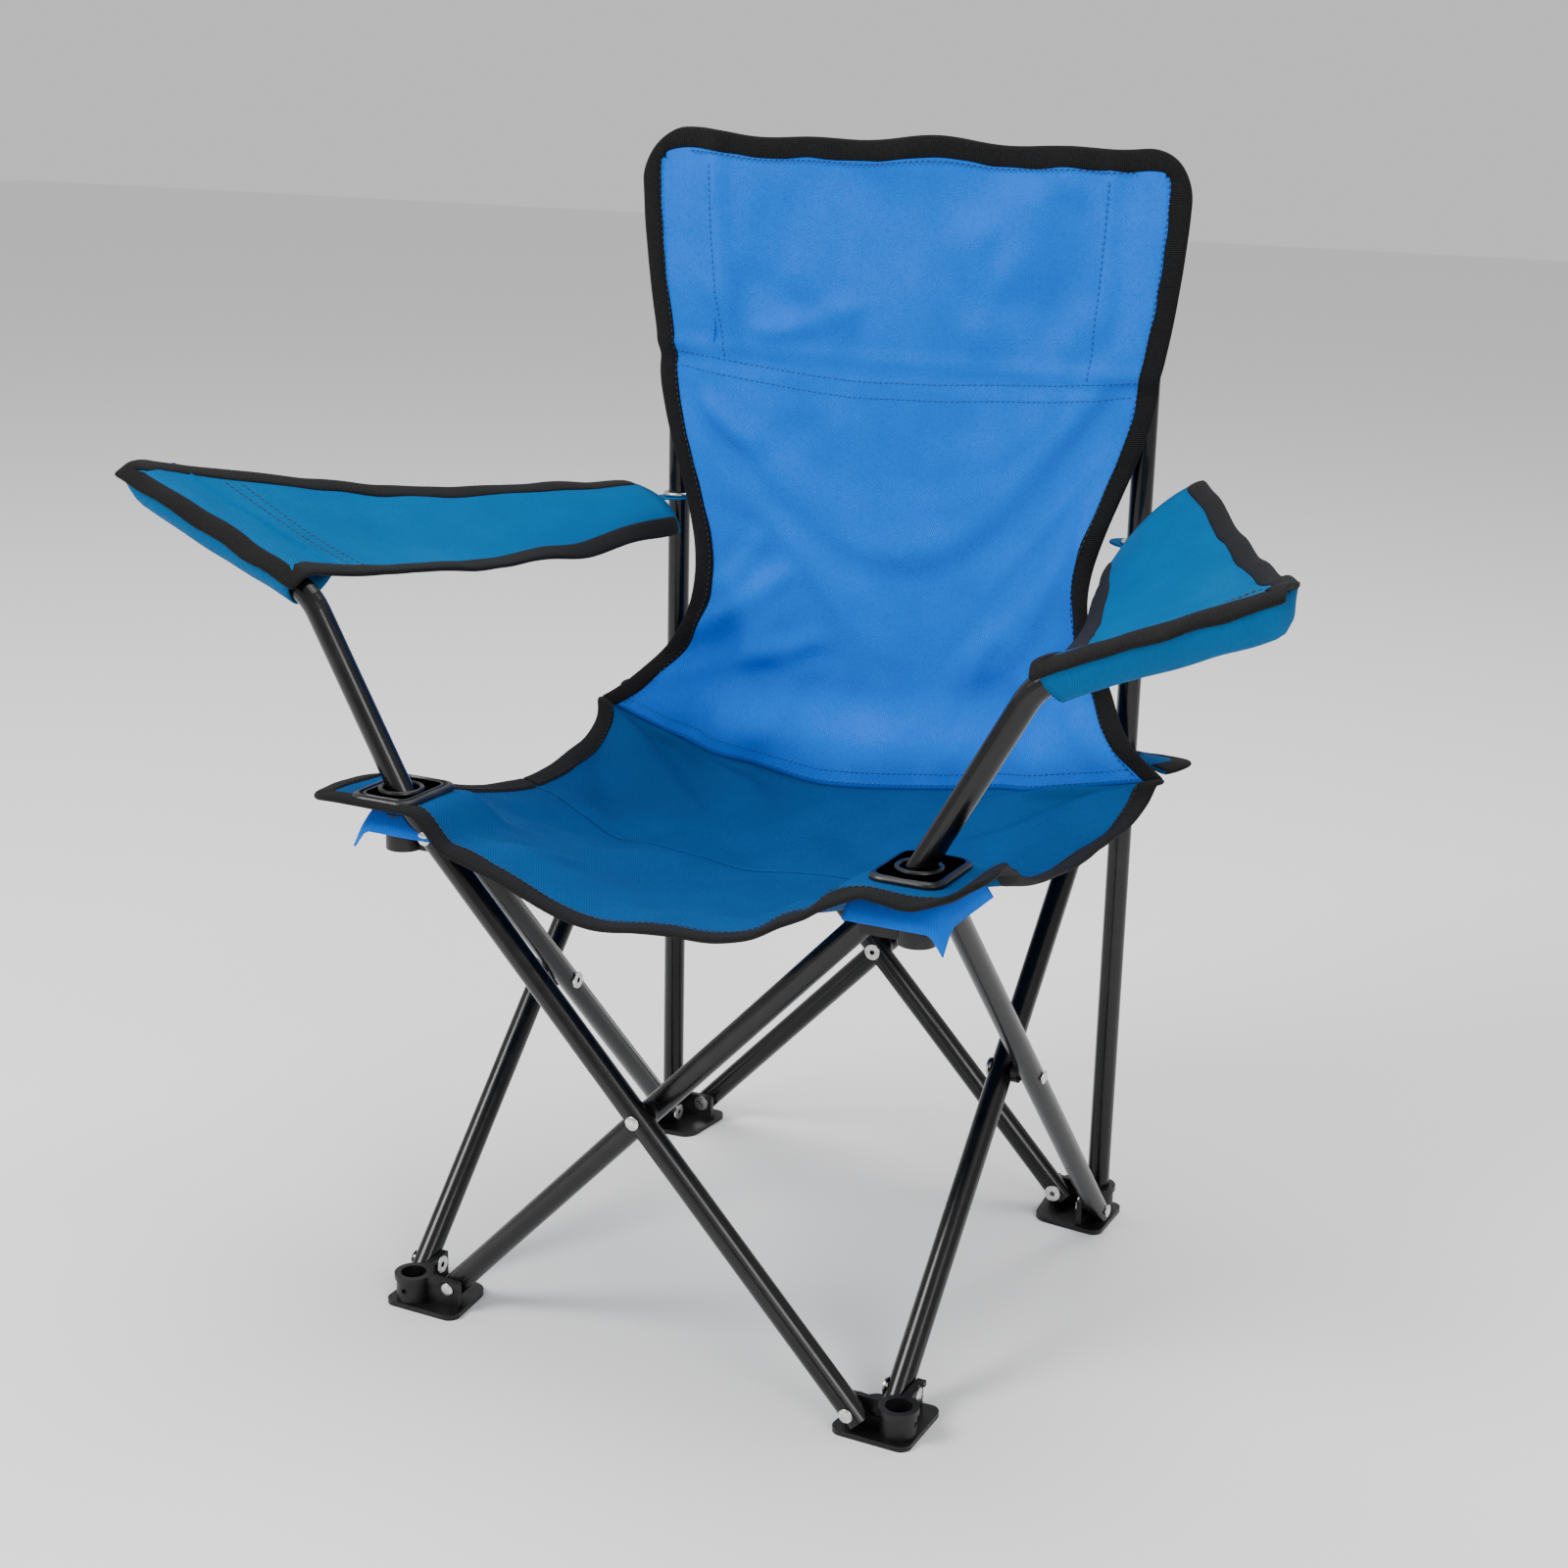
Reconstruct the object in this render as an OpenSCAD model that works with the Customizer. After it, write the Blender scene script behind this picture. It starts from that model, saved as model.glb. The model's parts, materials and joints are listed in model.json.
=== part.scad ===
// Folding camp chair: four scissor pairs of steel tube between four feet and
// four hubs, two uprights for the back, bent arm posts and a fabric cover.
// Left is -X, right is +X, the front faces -Y and the floor is z = 0.

/* [Tubes] */
// Outside diameter of every steel tube
tube_d = 13; // [12:0.5:14]
// Wall thickness of the tubes
tube_wall = 1; // [0.8:0.1:1.5]
// Length that a plain tube runs past its pivot
tube_tail = 7; // [6:0.5:7]

/* [Frame] */
// Half distance between the two pivots on one side, when open
pivot_half = 123.5; // [115:0.5:130]
// Height of the foot pivots above the floor
foot_pivot_z = 13; // [12.9:0.1:14]
// Height of the hub pivots above the floor, when open
hub_pivot_z = 274.7; // [265:0.1:280]
// Distance from the centre line to the wall of a moulding
wall_offset = 145; // [140:0.5:150]
// Distance from the centre line to a socket's axis
socket_offset = 146; // [141:0.5:151]
// Moves the frame back, so that the whole chair's box is centred on the origin
depth_shift = 10; // [0:0.5:16]

/* [Mouldings] */
// Thickness of the upright walls of a foot or hub
moulding_wall = 3.4; // [3:0.1:3.5]
// Height of a foot
foot_h = 18; // [17:0.5:19]
// Thickness of a foot's base plate
base_t = 3; // [2.5:0.1:3]
// Thickness of the top plates
top_t = 3; // [2:0.1:3.5]
// Height of a hub below and above its pivots
hub_reach = [12, 8]; // [6:0.5:14]
// Radius of a socket's boss
boss_r = 9.5; // [9:0.1:9.6]
// Radius of an empty socket
socket_r = 7; // [6.8:0.1:7.2]
// Radial gap between an upright and the moulding round it
slide_gap = 0.35; // [0.3:0.05:0.5]

/* [Rivets] */
// Radius of a pivot rivet's shank
rivet_r = 2.5; // [2:0.1:3]
// Radial running gap round a pivot rivet
rivet_gap = 0.05; // [0.03:0.01:0.08]
// Radius of the domed heads
head_r = 3.8; // [3.5:0.1:4.5]
// Radius of the rolled tails
tail_r = 4.8; // [4:0.1:5]

/* [Arm posts] */
// Height above the hub pivot at which a front tube bends into its post
post_bend_rise = 16; // [14:1:18]
// Lean of the arm post from the vertical
post_lean = 29.2; // [27:0.1:31]
// Height of the bend under the armrest
arm_bend_z = 393; // [385:1:400]
// Slope of the armrest's tube above the horizontal
arm_rise = 23; // [20:1:26]
// Length of the armrest's tube from its bend
arm_tube_len = 110; // [100:1:115]
// Radius of the tube bends
bend_r = 30; // [26:1:34]

/* [Back] */
// Top of the uprights
upright_top = 608; // [600:1:612]
// Top edge of the back panel
back_top = 620; // [618:1:625]
// Half width of the back panel near its top
back_half = 167; // [160:1:170]
// Half width of the back panel at its waist
waist_half = 125; // [120:1:130]
// Height of the waist
waist_z = 392; // [380:1:400]
// Height of the stitched seam below the back's pockets
pocket_z = 500; // [490:1:510]
// Width of an upright's pocket
pocket_w = 46; // [40:1:50]

/* [Fabric] */
// Thickness of the seat, back and arm fabric with its lining
fabric_t = 2; // [1.5:0.1:2.5]
// Height of the seat over the hubs
seat_z = 292; // [290:1:296]
// Dip of the seat across its width
seat_dip = 42; // [30:1:50]
// Dip of the seat's side edges between front and back
side_dip = 24; // [15:1:30]
// Half width of the seat at its corners
seat_half = 187; // [180:1:190]
// Front edge of the seat, measured from the frame's centre
seat_front_y = -178; // [-182:1:-172]
// Rear seam of the seat, measured from the frame's centre
seat_rear_y = 134; // [128:1:136]
// Width of the woven binding
binding_w = 11; // [9:1:13]
// Size of a grommet plate
grommet_size = [38, 48]; // [30:1:50]

/* [Hidden] */
$fn = 48;
tube_r = tube_d / 2;
part_gap = 0.3;
plane_step = tube_r + moulding_wall / 2 + part_gap;
outer_plane = wall_offset + plane_step;
inner_plane = wall_offset - plane_step;
rise = hub_pivot_z - foot_pivot_z;
tube_lean = atan2(2 * pivot_half, rise);
cross_z = (foot_pivot_z + hub_pivot_z) / 2;
pivot_in = socket_offset - pivot_half;
wall_in = socket_offset - wall_offset;
wall_end = pivot_in + 7;
plate_in = pivot_in + 8;
plate_out = 10.5;
plate_out_tube = 13;
plate_round = 6;
rivet_hole_r = rivet_r + rivet_gap;
head_t = 1.6;
tail_t = 1;
pin_r = 1.5;
ring_r = 8.3;
ring_wire = 1.3;
ring_z = 408;
sleeve_r = 8.4;
sleeve_len = 103;
sleeve_bore = tube_r + part_gap;
cap_len = 6;
steps = 20;
sides = 32;

// Corners of a front tube in its own plane: foot tail, hub bend, arm bend, tip.
hub_bend_x = -pivot_half - post_bend_rise * tan(tube_lean);
hub_bend_z = hub_pivot_z + post_bend_rise;
arm_bend_x = hub_bend_x - (arm_bend_z - hub_bend_z) * tan(post_lean);
tip_x = arm_bend_x - arm_tube_len * cos(arm_rise);
tip_z = arm_bend_z + arm_tube_len * sin(arm_rise);
front_corners = [
    [pivot_half + tube_tail * sin(tube_lean), foot_pivot_z - tube_tail * cos(tube_lean)],
    [hub_bend_x, hub_bend_z], [arm_bend_x, arm_bend_z], [tip_x, tip_z]
];
plain_path = [
    front_corners[0],
    [-pivot_half - tube_tail * sin(tube_lean), hub_pivot_z + tube_tail * cos(tube_lean)]
];

function unit(v) = v / norm(v);
function heading(a, b) = atan2(b[1] - a[1], b[0] - a[0]);
function turn_at(path, i) = heading(path[i], path[i + 1]) - heading(path[i - 1], path[i]);
function tangent(path, i) = bend_r * tan(abs(turn_at(path, i)) / 2);

// Points of the bend at corner i of path, on an arc of radius bend_r.
function bend_points(path, i, steps) =
    let (turn = turn_at(path, i), side = sign(turn), way = heading(path[i - 1], path[i]),
         start = path[i] - tangent(path, i) * [cos(way), sin(way)],
         centre = start + side * bend_r * [-sin(way), cos(way)])
    [for (k = [0:steps]) let (a = way + turn * k / steps) centre + side * bend_r * [sin(a), -cos(a)]];

front_path = concat(
    [front_corners[0], front_corners[1]], bend_points(front_corners, 2, 5), [front_corners[3]]
);

function normal(a, b) = [a[1] - b[1], b[0] - a[0]] / norm(b - a);
function mitre(points, i) =
    i == 0 ? normal(points[0], points[1])
    : i == len(points) - 1 ? normal(points[i - 1], points[i])
    : unit(normal(points[i - 1], points[i]) + normal(points[i], points[i + 1]));

function normal(a, b) = [a[1] - b[1], b[0] - a[0]] / norm(b - a);

// Direction of the cut across the path at point i, long enough to keep the section round.
function mitre(points, i) =
    i == 0 ? normal(points[0], points[1])
    : i == len(points) - 1 ? normal(points[i - 1], points[i])
    : let (n = normal(points[i - 1], points[i]), m = unit(n + normal(points[i], points[i + 1]))) m / (m * n);
function ring(points, i, r) = [for (k = [0:sides - 1])
    let (a = 360 * k / sides, p = points[i] + r * cos(a) * mitre(points, i)) [p[0], r * sin(a), p[1]]];

// A bent tube in the XZ plane: rings outside, then the same rings inside.
module bent_tube(points) {
    rings = len(points);
    inner = rings * sides;
    function at(i, k) = i * sides + k % sides;
    walls = [for (i = [0:rings - 2]) for (k = [0:sides - 1]) each [
        [at(i, k), at(i + 1, k), at(i + 1, k + 1), at(i, k + 1)],
        [inner + at(i, k), inner + at(i, k + 1), inner + at(i + 1, k + 1), inner + at(i + 1, k)]
    ]];
    rims = [for (k = [0:sides - 1]) each [
        [at(0, k), at(0, k + 1), inner + at(0, k + 1), inner + at(0, k)],
        [at(rings - 1, k + 1), at(rings - 1, k), inner + at(rings - 1, k), inner + at(rings - 1, k + 1)]
    ]];
    polyhedron(
        points = [for (r = [tube_r, tube_r - tube_wall]) for (i = [0:rings - 1]) each ring(points, i, r)],
        faces = [for (f = concat(walls, rims)) [f[3], f[2], f[1], f[0]]]
    );
}

// A straight tube in the XZ plane, as a true cylinder.
module straight_tube(points) {
    rotate([90, 0, 0]) translate([points[0][0], points[0][1], 0])
        rotate([0, 0, heading(points[0], points[1])]) rotate([0, 90, 0])
            linear_extrude(norm(points[1] - points[0])) difference() {
                circle(r = tube_r);
                circle(r = tube_r - tube_wall);
            }
}

// Puts a side or corner, drawn at the front or the front left, in its place.
module placed(i = 0) {
    translate([0, depth_shift, 0]) rotate([0, 0, 90 * i]) children();
}

// Mirrors a part that is drawn on the left over to the right.
module sided(right) {
    translate([0, depth_shift, 0]) mirror([right ? 1 : 0, 0, 0]) children();
}

module rivet_holes(points, r) {
    for (p = points) translate([p[0], 0, p[1]]) rotate([90, 0, 0])
        cylinder(r = r, h = 3 * tube_d, center = true);
}

module side_tube(path) {
    difference() {
        if (len(path) > 2) bent_tube(path);
        else straight_tube(path);
        rivet_holes([[pivot_half, foot_pivot_z], [0, cross_z], [-pivot_half, hub_pivot_z]], rivet_hole_r);
    }
}

// Both front tubes carry on above their hub as an arm post.
module outer_tube(i) {
    color("#151517") placed(i) translate([0, -outer_plane, 0])
        side_tube(i == 0 ? front_path : plain_path);
}

module inner_tube(i) {
    color("#1b1b1d") placed(i) translate([0, -inner_plane, 0]) mirror([1, 0, 0])
        side_tube(i == 0 ? front_path : plain_path);
}

module spacer(i) {
    length = 2 * plane_step - tube_d - 2 * part_gap;
    color("#202022") placed(i) translate([0, -wall_offset, cross_z]) rotate([90, 0, 0]) difference() {
        cylinder(r = 6, h = length, center = true);
        cylinder(r = rivet_hole_r, h = length + 1, center = true);
    }
}

// A tubular rivet along Z: domed head above z = 0, rolled tail below -grip.
module rivet(grip) {
    dome = 12;
    rotate_extrude() polygon(concat(
        [[0, 0]],
        [for (k = [0:dome]) [head_r * cos(90 * k / dome), head_t * (0.35 + 0.65 * sin(90 * k / dome))]]
    ));
    difference() {
        union() {
            translate([0, 0, -grip - tail_t / 2]) cylinder(r = rivet_r, h = grip + tail_t / 2 + head_t / 4);
            translate([0, 0, -grip - tail_t]) cylinder(r = tail_r, h = tail_t);
        }
        translate([0, 0, -grip - tail_t - 1]) cylinder(r = rivet_r - 0.9, h = grip / 2);
    }
}

// Rivet through one moulding wall and one tube; the head is at the outside.
module pivot_rivet(outer) {
    head_y = outer ? outer_plane + tube_r : wall_offset + moulding_wall / 2;
    tail_y = outer ? wall_offset - moulding_wall / 2 : inner_plane - tube_r;
    translate([0, -head_y - rivet_gap, 0]) rotate([90, 0, 0])
        rivet(head_y - tail_y + 2 * rivet_gap);
}

module cross_rivet(i) {
    color("#c9cbce") placed(i) translate([0, -outer_plane - tube_r - rivet_gap, cross_z])
        rotate([90, 0, 0]) rivet(outer_plane - inner_plane + tube_d + 2 * rivet_gap);
}

module foot_rivets(i) {
    color("#c9cbce") {
        placed(i) translate([-pivot_half, 0, foot_pivot_z]) pivot_rivet(false);
        placed(i + 3) translate([pivot_half, 0, foot_pivot_z]) pivot_rivet(true);
    }
}

module hub_rivets(i) {
    color("#c9cbce") {
        placed(i) translate([-pivot_half, 0, hub_pivot_z]) pivot_rivet(true);
        placed(i + 3) translate([pivot_half, 0, hub_pivot_z]) pivot_rivet(false);
    }
}

// Two walls at right angles, each wall_end long, from a round boss on the axis.
module boss_and_walls(h) {
    cylinder(r = boss_r, h = h);
    for (wall = [0, 1]) mirror([wall, -wall, 0])
        translate([0, wall_in - moulding_wall / 2, 0]) cube([wall_end, moulding_wall, h]);
}

// The lip that runs along the boss and walls; lip_x and lip_y say which face of
// each wall is free of a tube and so can carry it.
module lip(h, lip_x, lip_y) {
    over = 1.6;
    cylinder(r = boss_r + 1, h = h);
    translate([0, wall_in - moulding_wall / 2 - (lip_x ? over : 0), 0])
        cube([wall_end, moulding_wall + (lip_x ? over : 0), h]);
    translate([wall_in - moulding_wall / 2, 0, 0])
        cube([moulding_wall + (lip_y ? over : 0), wall_end, h]);
}

module base_plate() {
    far = plate_in + 2;
    linear_extrude(base_t) hull() {
        translate([plate_round - plate_out_tube, plate_round - plate_out]) circle(r = plate_round);
        translate([far - plate_round, plate_round - plate_out]) circle(r = plate_round);
        translate([plate_round - plate_out_tube, far - plate_round]) circle(r = plate_round);
        translate([far - 2 * plate_round, far - 2 * plate_round]) circle(r = 1.6 * plate_round);
    }
}

module wall_pivots(z) {
    for (wall = [0, 1]) mirror([wall, -wall, 0]) translate([pivot_in, wall_in, z])
        rotate([90, 0, 0]) cylinder(r = rivet_hole_r, h = 2 * moulding_wall, center = true);
}

module foot(i) {
    holds_upright = i > 1;
    bore = holds_upright ? tube_r + slide_gap : socket_r;
    color("#232325") placed(i) translate([-socket_offset, -socket_offset, 0]) difference() {
        union() {
            base_plate();
            boss_and_walls(foot_h);
            translate([0, 0, foot_h - top_t]) lip(top_t, true, false);
        }
        translate([0, 0, base_t]) cylinder(r = bore, h = foot_h);
        wall_pivots(foot_pivot_z);
        translate([0, 0, 10]) rotate([90, 0, 0]) cylinder(r = pin_r + rivet_gap, h = 4 * boss_r, center = true);
        translate([pivot_in, wall_in - moulding_wall / 2, foot_pivot_z]) rotate([90, 0, 0]) cylinder(r = tail_r + 0.4, h = 8);
    }
}

// Room past a front hub's lip for the tube that rises on to the armrest.
module post_way(i) {
    way = [tube_r + 0.7, 26];
    if (i == 0) translate([pivot_in, socket_offset - outer_plane, hub_reach[0]])
        rotate([0, -tube_lean, 0]) cylinder(r = way[0], h = way[1]);
    if (i == 1) translate([socket_offset - inner_plane, pivot_in, hub_reach[0]])
        rotate([tube_lean, 0, 0]) cylinder(r = way[0], h = way[1]);
}

module hub(i) {
    bore = i > 1 ? tube_r + slide_gap : socket_r;
    height = hub_reach[0] + hub_reach[1];
    color("#232325") placed(i)
        translate([-socket_offset, -socket_offset, hub_pivot_z - hub_reach[0]]) difference() {
            union() {
                boss_and_walls(height);
                translate([0, 0, height - top_t]) mirror([1, -1, 0]) lip(top_t, true, false);
            }
            translate([0, 0, -1]) cylinder(r = bore, h = height + 2);
            wall_pivots(hub_reach[0]);
            post_way(i);
        }
}

// Uprights stand in the back sockets and slide through the back hubs.
module upright(right) {
    color("#151517") sided(right) translate([-socket_offset, socket_offset, base_t + part_gap]) difference() {
        cylinder(r = tube_r, h = upright_top - cap_len - base_t - part_gap);
        translate([0, 0, -1]) cylinder(r = tube_r - tube_wall, h = upright_top);
        translate([0, 0, 10 - base_t - part_gap]) rotate([right ? 90 : 0, right ? 0 : 90, 0])
            cylinder(r = pin_r + rivet_gap, h = 2 * tube_d, center = true);
    }
}

module upright_cap(right) {
    color("#232325") sided(right) translate([-socket_offset, socket_offset, upright_top - cap_len]) {
        translate([0, 0, -8]) cylinder(r = tube_r - tube_wall - 0.05, h = 8);
        rotate_extrude() polygon(concat(
            [[0, 0]], [for (k = [0:8]) [tube_r * cos(80 * k / 8), 2 + 4 * sin(90 * k / 8)]], [[0, 6]]
        ));
    }
}

module upright_pin(right) {
    length = 2 * boss_r + 1;
    color("#c9cbce") sided(right) translate([-socket_offset, socket_offset, 10])
        rotate([right ? 90 : 0, right ? 0 : 90, 0]) cylinder(r = pin_r, h = length, center = true);
}

// Lays a part drawn along +X from the arm bend onto a front tube's arm stretch.
module on_arm(right) {
    plane = right ? inner_plane : outer_plane;
    sided(right) translate([arm_bend_x, -plane, arm_bend_z]) rotate([0, 180 + arm_rise, 0]) children();
}

module arm_tube_cap(right) {
    color("#232325") on_arm(right) {
        translate([arm_tube_len + 0.02, 0, 0]) rotate([0, 90, 0]) cylinder(r = tube_r, h = 2.4);
        translate([arm_tube_len - 8, 0, 0]) rotate([0, 90, 0]) cylinder(r = tube_r - tube_wall - 0.05, h = 9);
    }
}

module arm_sleeve(right) {
    color("#1f5fb0") on_arm(right) translate([arm_tube_len - sleeve_len + 5, 0, 0]) rotate([0, 90, 0])
        difference() {
            cylinder(r = sleeve_r, h = sleeve_len);
            translate([0, 0, -1]) cylinder(r = sleeve_bore, h = sleeve_len - 1);
        }
}

// Point of an arm post's axis at height z, in the left post's own plane.
function post_x(z) = hub_bend_x - (z - hub_bend_z) * tan(post_lean);

module grommet(right) {
    plane = right ? inner_plane : outer_plane;
    z = seat_z + fabric_t + part_gap;
    half = grommet_size / 2;
    color("#242426") sided(right) translate([post_x(z + 2), -plane + 2, z]) difference() {
        union() {
            linear_extrude(2.4) hull() for (x = [-1, 1], y = [-1, 1])
                translate([x * (half[0] - 5), y * (half[1] - 5)]) circle(r = 5);
            cylinder(r = 11.5, h = 4);
        }
        translate([0, -2, -1]) cylinder(r = 9.6, h = 10);
    }
}

module arm_eyelet(right) {
    color("#b9bbbe") sided(right) translate([-socket_offset, socket_offset, ring_z])
        rotate_extrude() translate([ring_r, 0]) circle(r = ring_wire, $fn = 16);
}

// Height of the seat's lower face; the seat dips across and along.
function bowl(v, half) = max(0, 1 - pow(v / half, 2));
function seat_height(x, y) =
    seat_z - seat_dip * bowl(x, 116) - side_dip * bowl(y, 112) * (1 - 0.55 * bowl(x, 116));
function seat_edge(y) = seat_half - 20 * bowl(y, 150);

// Closed sheet of thickness t over a grid of points; lift is its direction.
module sheet(grid, lift) {
    rows = len(grid);
    cols = len(grid[0]);
    count = rows * cols;
    low = [for (row = grid) for (p = row) p];
    high = [for (r = [0:rows - 1]) for (c = [0:cols - 1]) grid[r][c] + lift[r]];
    function at(r, c) = r * cols + c;
    top = [for (r = [0:rows - 2]) for (c = [0:cols - 2]) for (half = [0, 1])
        half == 0 ? [count + at(r, c), count + at(r + 1, c), count + at(r + 1, c + 1)]
                  : [count + at(r, c), count + at(r + 1, c + 1), count + at(r, c + 1)]];
    bottom = [for (f = top) [f[0] - count, f[2] - count, f[1] - count]];
    rim = concat(
        [for (c = [0:cols - 1]) at(0, c)],
        [for (r = [1:rows - 1]) at(r, cols - 1)],
        [for (c = [cols - 2:-1:0]) at(rows - 1, c)],
        [for (r = [rows - 2:-1:1]) at(r, 0)]
    );
    n = len(rim);
    wall = [for (k = [0:n - 1]) for (half = [0, 1]) let (a = rim[k], b = rim[(k + 1) % n])
        half == 0 ? [a, b + count, b] : [a, a + count, b + count]];
    polyhedron(points = concat(low, high), faces = concat(top, bottom, wall));
}

module seat_part(y0, y1, inset, t, drop = 0) {
    rows = 12;
    grid = [for (r = [0:rows]) let (y = y0 + (y1 - y0) * r / rows)
        [for (c = [0:steps]) let (x = (2 * c / steps - 1) * (seat_edge(y) - inset))
            [x, y, seat_height(x, y) - drop]]];
    sheet(grid, [for (r = [0:rows]) [0, 0, t]]);
}

module post_openings(r) {
    for (right = [0, 1]) mirror([right, 0, 0])
        translate([post_x(seat_z), -(right ? inner_plane : outer_plane), seat_z])
            cylinder(r = r, h = 60, center = true);
}

module seat_front() {
    color("#1d74c4") placed() difference() {
        seat_part(seat_front_y, -0.3, 0, fabric_t);
        post_openings(10.5);
    }
}

module seat_rear() {
    color("#1d74c4") placed() seat_part(0.3, seat_rear_y, 0, fabric_t);
}

// A flat strip of the woven binding, under the seat's edge.
module seat_front_binding() {
    color("#17171a") placed() difference() {
        seat_part(seat_front_y - 1, -0.3, -1, 1, 1.9);
        translate([0, 0, 150]) linear_extrude(300) difference() {
            translate([-seat_half, seat_front_y + binding_w]) square([2 * seat_half, 300]);
            for (side = [-1, 1]) translate([side * (seat_half - 3), -50]) square([2 * binding_w, 300], center = true);
        }
        post_openings(10.5);
    }
}

module seat_rear_binding() {
    color("#17171a") placed() difference() {
        seat_part(0.3, seat_rear_y, -1, 1, 1.9);
        translate([0, 100, 150]) linear_extrude(300) square([2 * (seat_half - 22), 400], center = true);
    }
}

// Doubled fabric under the front corners, round the posts.
module seat_corner_patches() {
    color("#2a84d6") placed() difference() {
        for (right = [0, 1]) mirror([right, 0, 0])
            translate([-168, -166, seat_z - 7]) cube([52, 60, 1]);
        post_openings(17);
        translate([-146, -146, 150]) cylinder(r = 1, h = 300);
    }
}

function back_edge(z) =
    z > pocket_z ? back_half - 13 * pow((back_top - z) / (back_top - pocket_z), 2)
    : z > waist_z ? waist_half + (back_half - 13 - waist_half) * (1 - cos(180 * (z - waist_z) / (pocket_z - waist_z))) / 2
    : waist_half + 56 * pow((waist_z - z) / (waist_z - seat_z), 2);
function seam_height(x) = seat_z + 5 - (seat_dip - 2) * bowl(x, 130);

function back_side() = [for (z = [304:12:back_top - back_round]) [back_edge(z), z]];
back_round = 28;
back_outline = concat(
    [for (k = [-12:12]) let (x = k * 14.5) [x, seam_height(x)]],
    back_side(),
    [for (a = [15:15:90]) [back_half, back_top] + back_round * [cos(a) - 1, sin(a) - 1]],
    [for (a = [90:15:165]) [-back_half, back_top] + back_round * [cos(a) + 1, sin(a) - 1]],
    [for (k = [len(back_side()) - 1:-1:0]) [-back_side()[k][0], back_side()[k][1]]]
);

module back_panel() {
    color("#2a86dc") placed() translate([0, seat_rear_y + 1.8 + fabric_t, 0]) rotate([90, 0, 0])
        linear_extrude(fabric_t) polygon(back_outline);
}

// The binding lies on the panel's front, along its sides and top.
module back_binding() {
    color("#17171a") placed() translate([0, seat_rear_y + 1.6, 0]) rotate([90, 0, 0])
        linear_extrude(1) difference() {
            polygon(back_outline);
            offset(delta = -binding_w) polygon(back_outline);
            polygon(concat([for (k = [-11:11]) let (x = k * 14) [x, seam_height(x) + binding_w + 1]], [[154, 200], [-154, 200]]));
        }
}

module back_pocket(right) {
    front = seat_rear_y + 4.1;
    depth = 17.2;
    color("#2a86dc") sided(right) translate([-socket_offset, front, pocket_z]) difference() {
        linear_extrude(back_top - 6 - pocket_z) hull() for (x = [-1, 1])
            translate([x * (pocket_w - depth) / 2, depth / 2]) circle(d = depth);
        translate([0, 0, -1]) linear_extrude(back_top - 7 - pocket_z) hull() for (x = [-1, 1])
            translate([x * (pocket_w - depth) / 2, depth / 2]) circle(d = depth - 2);
    }
}

// Sling from the sleeve on the arm tube, twisting down to the eyelet's strap.
module arm_sling(right) {
    rows = 14;
    cols = 8;
    plane = right ? inner_plane : outer_plane;
    near = arm_tube_len - sleeve_len + 5;
    front = [for (s = [near, near + sleeve_len]) [arm_bend_x - s * cos(arm_rise), arm_bend_z + s * sin(arm_rise)]];
    rear = right ? [[-140, 392], [-182, 440]] : [[-150, 384], [-158, 412]];
    grid = [for (r = [0:rows]) let (t = r / rows, blend = t * t * (3 - 2 * t), y = -plane + 8.8 + t * (socket_offset + plane - 19.8))
        [for (c = [0:cols]) let (u = c / cols, p = front[0] + (front[1] - front[0]) * u, q = rear[0] + (rear[1] - rear[0]) * u)
            [p[0] + (q[0] - p[0]) * blend, y, p[1] + (q[1] - p[1]) * blend - 14 * sin(180 * t) * (1 - t / 2)]]];
    lift = [for (r = [0:rows]) let (a = 70 * r / rows) fabric_t * [sin(a + 20), 0, cos(a + 20)]];
    color("#2b6fb4") sided(right) sheet(grid, lift);
}

foot(0);  // foot_front_left
foot(1);  // foot_front_right
foot(2);  // foot_back_right
foot(3);  // foot_back_left
hub(0);  // hub_front_left
hub(1);  // hub_front_right
hub(2);  // hub_back_right
hub(3);  // hub_back_left
outer_tube(0);  // outer_tube_front
outer_tube(1);  // outer_tube_right
outer_tube(2);  // outer_tube_back
outer_tube(3);  // outer_tube_left
inner_tube(0);  // inner_tube_front
inner_tube(1);  // inner_tube_right
inner_tube(2);  // inner_tube_back
inner_tube(3);  // inner_tube_left
spacer(0);  // spacer_front
spacer(1);  // spacer_right
spacer(2);  // spacer_back
spacer(3);  // spacer_left
cross_rivet(0);  // cross_rivet_front
cross_rivet(1);  // cross_rivet_right
cross_rivet(2);  // cross_rivet_back
cross_rivet(3);  // cross_rivet_left
foot_rivets(0);  // foot_rivets_front_left
foot_rivets(1);  // foot_rivets_front_right
foot_rivets(2);  // foot_rivets_back_right
foot_rivets(3);  // foot_rivets_back_left
hub_rivets(0);  // hub_rivets_front_left
hub_rivets(1);  // hub_rivets_front_right
hub_rivets(2);  // hub_rivets_back_right
hub_rivets(3);  // hub_rivets_back_left
upright(false);  // upright_left
upright(true);  // upright_right
upright_cap(false);  // upright_cap_left
upright_cap(true);  // upright_cap_right
upright_pin(false);  // upright_pin_left
upright_pin(true);  // upright_pin_right
arm_tube_cap(false);  // arm_tube_cap_left
arm_tube_cap(true);  // arm_tube_cap_right
grommet(false);  // grommet_left
grommet(true);  // grommet_right
arm_eyelet(false);  // arm_eyelet_left
arm_eyelet(true);  // arm_eyelet_right
seat_front();
seat_rear();
seat_front_binding();
seat_rear_binding();
seat_corner_patches();
back_panel();
back_binding();
back_pocket(false);  // back_pocket_left
back_pocket(true);  // back_pocket_right
arm_sling(false);  // arm_sling_left
arm_sling(true);  // arm_sling_right
arm_sleeve(false);  // arm_sleeve_left
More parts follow.
